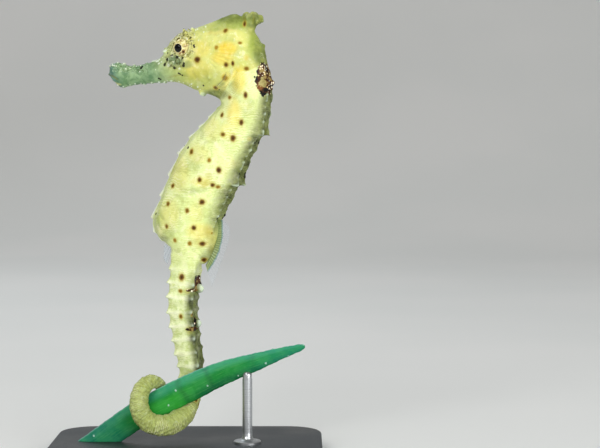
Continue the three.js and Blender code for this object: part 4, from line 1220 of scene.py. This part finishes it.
def eye_finish():
    eye = Finish("eye", Roughness=0.14, Specular_IOR_Level=0.12, Coat_Weight=0.3, Coat_Roughness=0.04)
    polar = eye["polar"]
    streak_at = eye.vector(eye["left_right"] * 2.4, eye["up_down"] * 2.4, polar * 0.6)
    streaks = eye.noise(1.6, 4, 0.65, at=streak_at, warp=0.5)
    flecks = eye.noise(1900, 3, 0.6)
    eye.colour = eye.blend(flecks.span(0.38, 0.62), "eae3a6", "cfc27c")
    eye.coat(streaks.span(0.36, 0.46, 0.7, 0.0), "f7f0c4")
    eye.coat(streaks.span(0.52, 0.6, 0.0, 0.75), "8c7a34")
    mark = eye["mark"] + eye.noise(1500, 4, 0.7).line(1.0, -0.5)
    eye.coat(mark.span(0.3, 0.5, 0.0, 0.85), "84501c")
    eye.coat(mark.span(0.62, 0.76, 0.0, 0.95), "1f1204")
    eye.coat(eye.cells(2300).span(0.1, 0.18, 0.75, 0.0), "2a1c08")
    eye.coat(polar.span(1.08, 1.2, 0.6, 0.0), "f6ecc0")
    eye.coat(polar.span(0.98, 1.05, 1.0, 0.0), "010101")
    return eye.done(Normal=eye.bumps(flecks, 0.00003, 0.5))


eye_paint = eye_finish()
for name, side in (("left", -1), ("right", 1)):
    eye = make_eye(name + "_eyeball", side)
    finish_piece(eye, eye_paint, "eye", "eye_" + name)

# ---------------------------------------------------------------- fins


def make_fin(name, base, edge, rays, out=0.0, spread=0.0, wave=0.0):
    """A fan of rays between its base line and its free edge: a thin closed shell, thicker along each ray."""

    def ends(t):
        return spline(base, t * (len(base) - 1)), spline(edge, t * (len(edge) - 1))

    def place(t, turn):
        rise = 1 - np.abs(2 * turn - 1)
        low, high = ends(t)
        at = low + (high - low) * rise[:, None]
        ray = (0.5 + 0.5 * np.cos(FULL_TURN * rays * t)) ** 2
        thick = (0.05 + 0.09 * ray * (1 - 0.8 * rise)) * np.sin(np.clip(rise, 0.02, 0.98) * math.pi) ** 0.3
        thick = thick * ends_closed(t, 0.003) * np.where(turn < 0.5, 1, -1)
        side = 1 if out >= 0 else -1
        return in_animal(at[:, 0], at[:, 1], out + side * spread * rise + wave * np.sin(t * 8) * rise + thick)

    fin = roll(name, rays * 12, 48, place)
    _, _, t, turn = FORMS[name]
    rise = 1 - np.abs(2 * turn - 1)
    low, high = ends(t)
    give(fin, "rays", t * rays)
    give(fin, "rise", rise)
    give(fin, "reach", rise * np.linalg.norm(high - low, axis=1))
    close_up(fin, 1e-4)
    return fin


def fin_finish(name, band, clear_alpha, band_alpha, ray_colour, web_colour, membrane="bfd2e6"):
    """Rays and web: solid and striped for a band of millimetres along the base, then clear."""
    fin = Finish(name, Roughness=0.3, Coat_Weight=0.1)
    stripes = (fin["rays"] * FULL_TURN).math("COSINE")
    ray = stripes.span(-0.9, 0.9)
    reach = fin["reach"] + fin.noise(900, 3).line(0.5, -0.25)
    inner = reach.span(band - 0.2, band + 0.2, 1.0, 0.0)
    fin.colour = fin.blend(ray, web_colour, ray_colour)
    fin.coat((reach - (band - 0.15)).math("ABSOLUTE").span(0.06, 0.25, 0.7, 0.0), "5d8784")
    fin.colour = fin.blend(inner, membrane, fin.colour)
    # Painted shade: darker olive near the root, where the fin meets the body
    fin.coat(reach.span(0.45, 0.0, 0.0, 0.6), "586428")
    outer = ray.span(0, 1, clear_alpha * 0.8, clear_alpha * 1.3)
    rim = fin["rise"].span(0.93, 1.0, 0.0, clear_alpha)
    solid = ray.span(0, 1, band_alpha * 0.8, band_alpha)
    alpha = fin.node("Mix", {"Factor": inner, 2: outer + rim, 3: solid})[0]
    return fin.done(Alpha=alpha, Normal=fin.bumps(stripes, 0.00002, 0.3))


DORSAL_BASE = [(6.6, 53.4), (6.7, 51.5), (6.6, 49.5), (6.2, 47.3), (5.2, 44.9), (4.4, 43.3)]
DORSAL_EDGE = [(8.4, 53.2), (9.6, 51.4), (9.65, 49.4), (8.8, 46.4), (7.3, 42.6), (5.7, 38.4)]
ANAL_BASE = [(-4.1, 48.4), (-3.5, 47.6), (-2.9, 46.8)]
ANAL_EDGE = [(-5.0, 47.2), (-5.0, 44.6), (-4.2, 43.2)]
PECTORAL_BASE = [(10.3, 85.2), (9.6, 83.6), (8.0, 82.2)]
PECTORAL_EDGE = [(12.8, 86.0), (13.8, 83.6), (12.8, 80.8), (10.2, 79.8)]

dorsal = make_fin("dorsal_fan", DORSAL_BASE, DORSAL_EDGE, 26, wave=0.2)
dorsal_web = fin_finish("dorsal_fin_web", 1.55, 0.045, 0.92, "8c9c5c", "788c50")
finish_piece(dorsal, dorsal_web, "fin", "dorsal_fin")
anal = make_fin("anal_fan", ANAL_BASE, ANAL_EDGE, 4, wave=0.1)
clear_web = fin_finish("clear_fin_web", 0.3, 0.16, 0.35, "cddcec", "a9c0dc")
finish_piece(anal, clear_web, "fin", "anal_fin")
faint_web = fin_finish("faint_fin_web", 0.4, 0.03, 0.25, "ecdc84", "e2d67c", "e2d98e")
for name, side in (("left", -1), ("right", 1)):
    fan = make_fin(name + "_pectoral_fan", PECTORAL_BASE, PECTORAL_EDGE, 14, side * 4.1, 0.75, 0.12)
    finish_piece(fan, faint_web, "fin", "pectoral_fin_" + name)

# ---------------------------------------------------------------- blade of sea grass

LEAF_LINE = [
    (26.2, -2.8, 25.55), (20.7, -2.6, 23.85), (15.2, -2.4, 21.95), (9.7, -2.1, 20.1), (5.3, -1.9, 18.3),
    (2.0, -1.8, 16.7), (-1.8, -1.6, 14.9), (-5.7, -1.2, 12.8), (-10.8, -0.9, 10.0), (-15.2, -0.6, 7.0),
    (-20.0, -0.3, 3.6), (-25.1, 0.0, 0.1),
]
LEAF_TAPER = [(0, 0.3), (1.2, 0.8), (6, 1.35), (12, 2.05), (18, 2.55), (26, 3.0), (36, 3.05), (56, 2.75)]
LEAF_SECTION = [(1, 0), (0.66, -0.75), (0.1, -1), (-0.7, -0.7), (-1, 0), (-0.7, 0.6), (0, 0.9), (0.72, 0.62)]
LEAF_FOOT = 4.05
LEAF_THICKNESS = 0.3
# Dark joints across the blade: how far along, and how strong
LEAF_JOINTS = ((21.9, 0.3), (28.6, 0.3), (12.0, 0.12))
# Pale specks on the blade: x, z, radius
LEAF_SPECKS = [(-2.4, 15.3, 0.3), (7.9, 12.8, 0.25), (13.6, 19.0, 0.28), (10.8, 16.8, 0.22), (17.5, 21.4, 0.25),
               (19.0, 24.6, 0.22), (-20.6, 5.2, 0.28), (-8.6, 7.6, 0.3), (22.5, 23.0, 0.2), (4.6, 16.4, 0.25),
               (-4.0, 12.0, 0.25), (0.0, 11.6, 0.2), (11.4, 18.6, 0.18), (25.8, 25.6, 0.3)]


def make_leaf():
    fine, run = measured(LEAF_LINE, 2000)
    front = np.array([0.0, 1.0, 0.0])

    def place(t, turn):
        distance = t * run[-1]
        ahead = at_distance(distance + 0.5, fine, run) - at_distance(distance - 0.5, fine, run)
        wide = unit(np.cross(front, unit(ahead + 1e-9)))
        half = np.interp(distance, *zip(*LEAF_TAPER))
        half = half + 0.03 * np.sin(distance * 1.9) + 0.02 * np.sin(distance * 4.7)
        shape = closed_spline(LEAF_SECTION, turn * len(LEAF_SECTION))
        size = ends_closed(t, 0.0015)
        vein = 0.02 * np.cos(shape[:, 0] * 17) * (np.abs(shape[:, 0]) < 0.9)
        deep = shape[:, 1] * (half * LEAF_THICKNESS + vein)
        at = at_distance(distance, fine, run)
        return at + wide * (shape[:, 0] * half * size)[:, None] + front * (deep * size)[:, None]

    leaf = roll("grass_blade", 360, 64, place)
    _, _, t, turn = FORMS["grass_blade"]
    give(leaf, "across", closed_spline(LEAF_SECTION, turn * len(LEAF_SECTION))[:, 0])
    give(leaf, "along", t * run[-1])
    close_up(leaf, 1e-4)
    bpy.ops.object.mode_set(mode="EDIT")
    bpy.ops.mesh.select_all(action="SELECT")
    bpy.ops.mesh.bisect(plane_co=(0, 0, LEAF_FOOT), plane_no=(0, 0, 1), clear_inner=True, use_fill=True)
    bpy.ops.object.mode_set(mode="OBJECT")
    co, normals = points_of(leaf), normals_of(leaf)
    view = pictured(co)
    near = np.full(len(co), 9.0)
    for x, z, radius in LEAF_SPECKS:
        near = np.minimum(near, np.hypot(view[:, 0] - x, view[:, 1] - z) / radius)
    give(leaf, "speck", near)
    facing = normals[:, 1] < 0.2
    move_points(leaf, co + normals * (0.16 * bump(near, 0.8) * facing)[:, None])
    return leaf


def leaf_finish():
    leaf = Finish("sea_grass", Specular_IOR_Level=0.16, Subsurface_Weight=0.1,
                  Subsurface_Radius=(0.5, 1.0, 0.3), Subsurface_Scale=0.0006)
    across, along = leaf["across"], leaf["along"]
    wander = leaf.noise(140, 3)
    tone = across + wander.line(0.5, -0.25)
    # Across the blade, painted light and shade of its rounded section: darker towards the lower edge, teal towards
    # the top
    leaf.colour = leaf.blend(tone.span(-0.8, 0.0), "0a5c34", "147c32")
    leaf.coat(tone.span(0.15, 0.8), "2c8c66")
    bright = (along - 34.5).math("ABSOLUTE").span(3.0, 11.0, 0.75, 0.0)
    leaf.coat(bright * tone.span(0.45, -0.1), "2c9a2a")
    leaf.coat(along.span(40.0, 48.0) * 0.75, "0f6a56")
    leaf.coat(along.span(18.0, 3.0) * 0.5, "17816c")
    fibres = leaf.noise(1.8, 4, 0.6, at=leaf.vector(across * 6.0, along * 0.16, 0.0))
    leaf.coat(fibres.span(0.5, 0.75, 0.0, 0.14), "8fce7c")
    leaf.coat(fibres.span(0.48, 0.3, 0.0, 0.25), "0e5028")
    clouds = leaf.noise(320, 3, 0.6).span(0.42, 0.62)
    leaf.coat(clouds * 0.16, "4fae62")
    for joint, strength in LEAF_JOINTS:
        off = along - wander.line(6.0, joint - 3.0)
        leaf.coat(off.math("ABSOLUTE").span(0.1, 1.1, strength, 0.0), "123f30")
    # Painted highlight along the top edge of the blade
    leaf.coat(across.span(0.9, 0.99, 0.0, 0.45), "9cc8c4")
    ragged = leaf["speck"] + leaf.noise(2600, 3, 0.7).line(2.2, -1.1)
    leaf.coat(ragged.span(0.4, 1.1, 0.7, 0.0), "b9d8cf")
    grain = fibres + leaf.noise(1500, 3) * 0.4
    return leaf.done(Roughness=clouds.span(0, 1, 0.38, 0.5), Normal=leaf.bumps(grain, 0.00006, 0.5))


finish_piece(make_leaf(), leaf_finish(), "leaf", "leaf")

# ---------------------------------------------------------------- stand

BASE_SIZE = (60.0, 40.0, 4.0)
BASE_CORNER = 8.0
BASE_BEVEL = 0.6
ROD_AT = (13.5, -2.3)
ROD_PROFILE = [(0, 4.02), (3.0, 4.02), (3.0, 4.45), (2.85, 4.62), (1.6, 4.85), (1.3, 5.1), (1.1, 5.6),
               (1.1, 19.0), (1.05, 19.4), (0.85, 19.75), (0.5, 19.95), (0, 20.0)]
SLOT_SIZE = (4.0, 1.0, 4.0)
SLOT_FLOOR = 18.25


def make_base():
    base = added(bpy.ops.mesh.primitive_cube_add, size=1)
    base.name = "display_base"
    move_points(base, points_of(base) * BASE_SIZE + np.array([0, 0, BASE_SIZE[2] / 2]))
    only(base)
    for upright, width, steps in ((True, BASE_CORNER, 14), (False, BASE_BEVEL, 4)):
        bpy.ops.object.mode_set(mode="EDIT")
        bpy.ops.mesh.select_mode(type="EDGE")
        bpy.ops.mesh.select_all(action="DESELECT")
        bpy.ops.object.mode_set(mode="OBJECT")
        for edge in base.data.edges:
            a, b = (base.data.vertices[v].co for v in edge.vertices)
            is_upright = abs(a.z - b.z) > 1
            edge.select = is_upright if upright else not is_upright
        bpy.ops.object.mode_set(mode="EDIT")
        bpy.ops.mesh.bevel(offset=width, segments=steps, affect="EDGES")
    bpy.ops.object.mode_set(mode="OBJECT")
    return base


def make_rod():
    def place(t, turn):
        at, corners = t * (len(ROD_PROFILE) - 1), np.arange(len(ROD_PROFILE))
        radius, z = (np.interp(at, corners, values) for values in zip(*ROD_PROFILE))
        angle = FULL_TURN * turn
        return np.stack([ROD_AT[0] + radius * np.cos(angle), ROD_AT[1] + radius * np.sin(angle), z], -1)

    rod = roll("display_rod", 12 * (len(ROD_PROFILE) - 1), 48, place)
    close_up(rod, 1e-4)
    slot = added(bpy.ops.mesh.primitive_cube_add, size=1)
    move_points(slot, points_of(slot) * SLOT_SIZE + np.array([*ROD_AT, SLOT_FLOOR + SLOT_SIZE[2] / 2]))
    cut_away(rod, slot)
    return rod


def painted_finish():
    paint = Finish("graphite_paint", Metallic=0.2)
    speck, broad = paint.noise(2200, 3, 0.6), paint.noise(60, 3)
    paint.colour = paint.blend(broad.span(0.35, 0.65), "303438", "3a3f44")
    paint.coat(speck.span(0.6, 0.72, 0.0, 0.5), "5a6066")
    return paint.done(Roughness=broad.span(0.3, 0.7, 0.42, 0.58), Normal=paint.bumps(speck, 0.00006, 0.6))


def steel_finish():
    steel = Finish("brushed_steel", Metallic=1.0)
    _, _, height = steel.parts("SeparateXYZ", steel.place())
    brushed = steel.noise(1.0, 3, 0.6, at=steel.vector(0.0, 0.0, height * 5200.0))
    steel.colour = steel.blend(brushed.span(0.35, 0.65), "a9adb1", "c3c6c9")
    rough = (brushed + steel.noise(900, 3)).span(0.7, 1.3, 0.27, 0.36)
    return steel.done(Roughness=rough, Normal=steel.bumps(brushed, 0.00001, 0.15))


for make, finish, name in ((make_base, painted_finish, "stand_base"), (make_rod, steel_finish, "stand_rod")):
    finish_piece(make(), finish(), name, name)
    bpy.ops.object.shade_smooth_by_angle(angle=math.radians(40))

# ---------------------------------------------------------------- light, floor and camera


# The paper: front and back of its floor, radius of its bend, height of its wall, half its width
SWEEP = (-3.0, 0.6, 0.6, 2.5, 4.0)
LAMPS_AIM = (0.0, 0.0, 0.06)
# Lamps: name, place, size, power, colour
LAMPS = (
    ("key", (-0.27, -0.68, 0.48), 0.44, 3.7, (1.0, 0.99, 0.96)),
    ("fill", (0.47, -0.61, 0.19), 0.54, 4.35, (1.0, 1.0, 0.98)),
    ("rim", (-0.22, 0.43, 0.52), 0.32, 0.8, (0.9, 0.96, 1.0)),
)


def make_studio():
    """A pale sweep of paper, and soft lights."""
    sweep = added(bpy.ops.mesh.primitive_grid_add, x_subdivisions=2, y_subdivisions=120, size=2)
    sweep.name = "floor"
    co = points_of(sweep)
    front, back, radius, top, half_width = SWEEP
    run = (co[:, 1] + 1) / 2 * (back - front + radius * math.pi / 2 + top) + front
    angle = np.clip((run - back) / radius, 0, math.pi / 2)
    up = np.maximum(0, run - back - radius * math.pi / 2)
    y = np.minimum(run, back) + radius * np.sin(angle)
    move_points(sweep, np.stack([co[:, 0] * half_width, y, radius * (1 - np.cos(angle)) + up], -1))
    only(sweep)
    bpy.ops.object.shade_smooth()
    sweep.data.materials.append(paper_finish())
    world = bpy.data.worlds.new("studio")
    bpy.context.scene.world = world
    world.use_nodes = True
    background = world.node_tree.nodes["Background"]
    background.inputs["Color"].default_value = (1.0, 0.985, 0.95, 1)
    background.inputs["Strength"].default_value = 0.33
    for name, place, size, power, colour in LAMPS:
        light = bpy.data.lights.new(name, "AREA")
        light.energy, light.size, light.color = power, size, colour
        lamp = bpy.data.objects.new(name, light)
        bpy.context.scene.collection.objects.link(lamp)
        lamp.location = place
        lamp.rotation_euler = (Vector(LAMPS_AIM) - Vector(place)).to_track_quat("-Z", "Y").to_euler()


def make_camera():
    lens = bpy.data.cameras.new("camera")
    lens.lens = LENS
    lens.sensor_width = 36
    lens.clip_start = 0.01
    camera = bpy.data.objects.new("camera", lens)
    bpy.context.scene.collection.objects.link(camera)
    camera.location = EYE_POINT * MM
    camera.rotation_euler = (math.pi / 2 - LOOK_DOWN, 0, 0)
    bpy.context.scene.camera = camera


make_studio()
make_camera()
bpy.context.scene.view_settings.view_transform = "Standard"
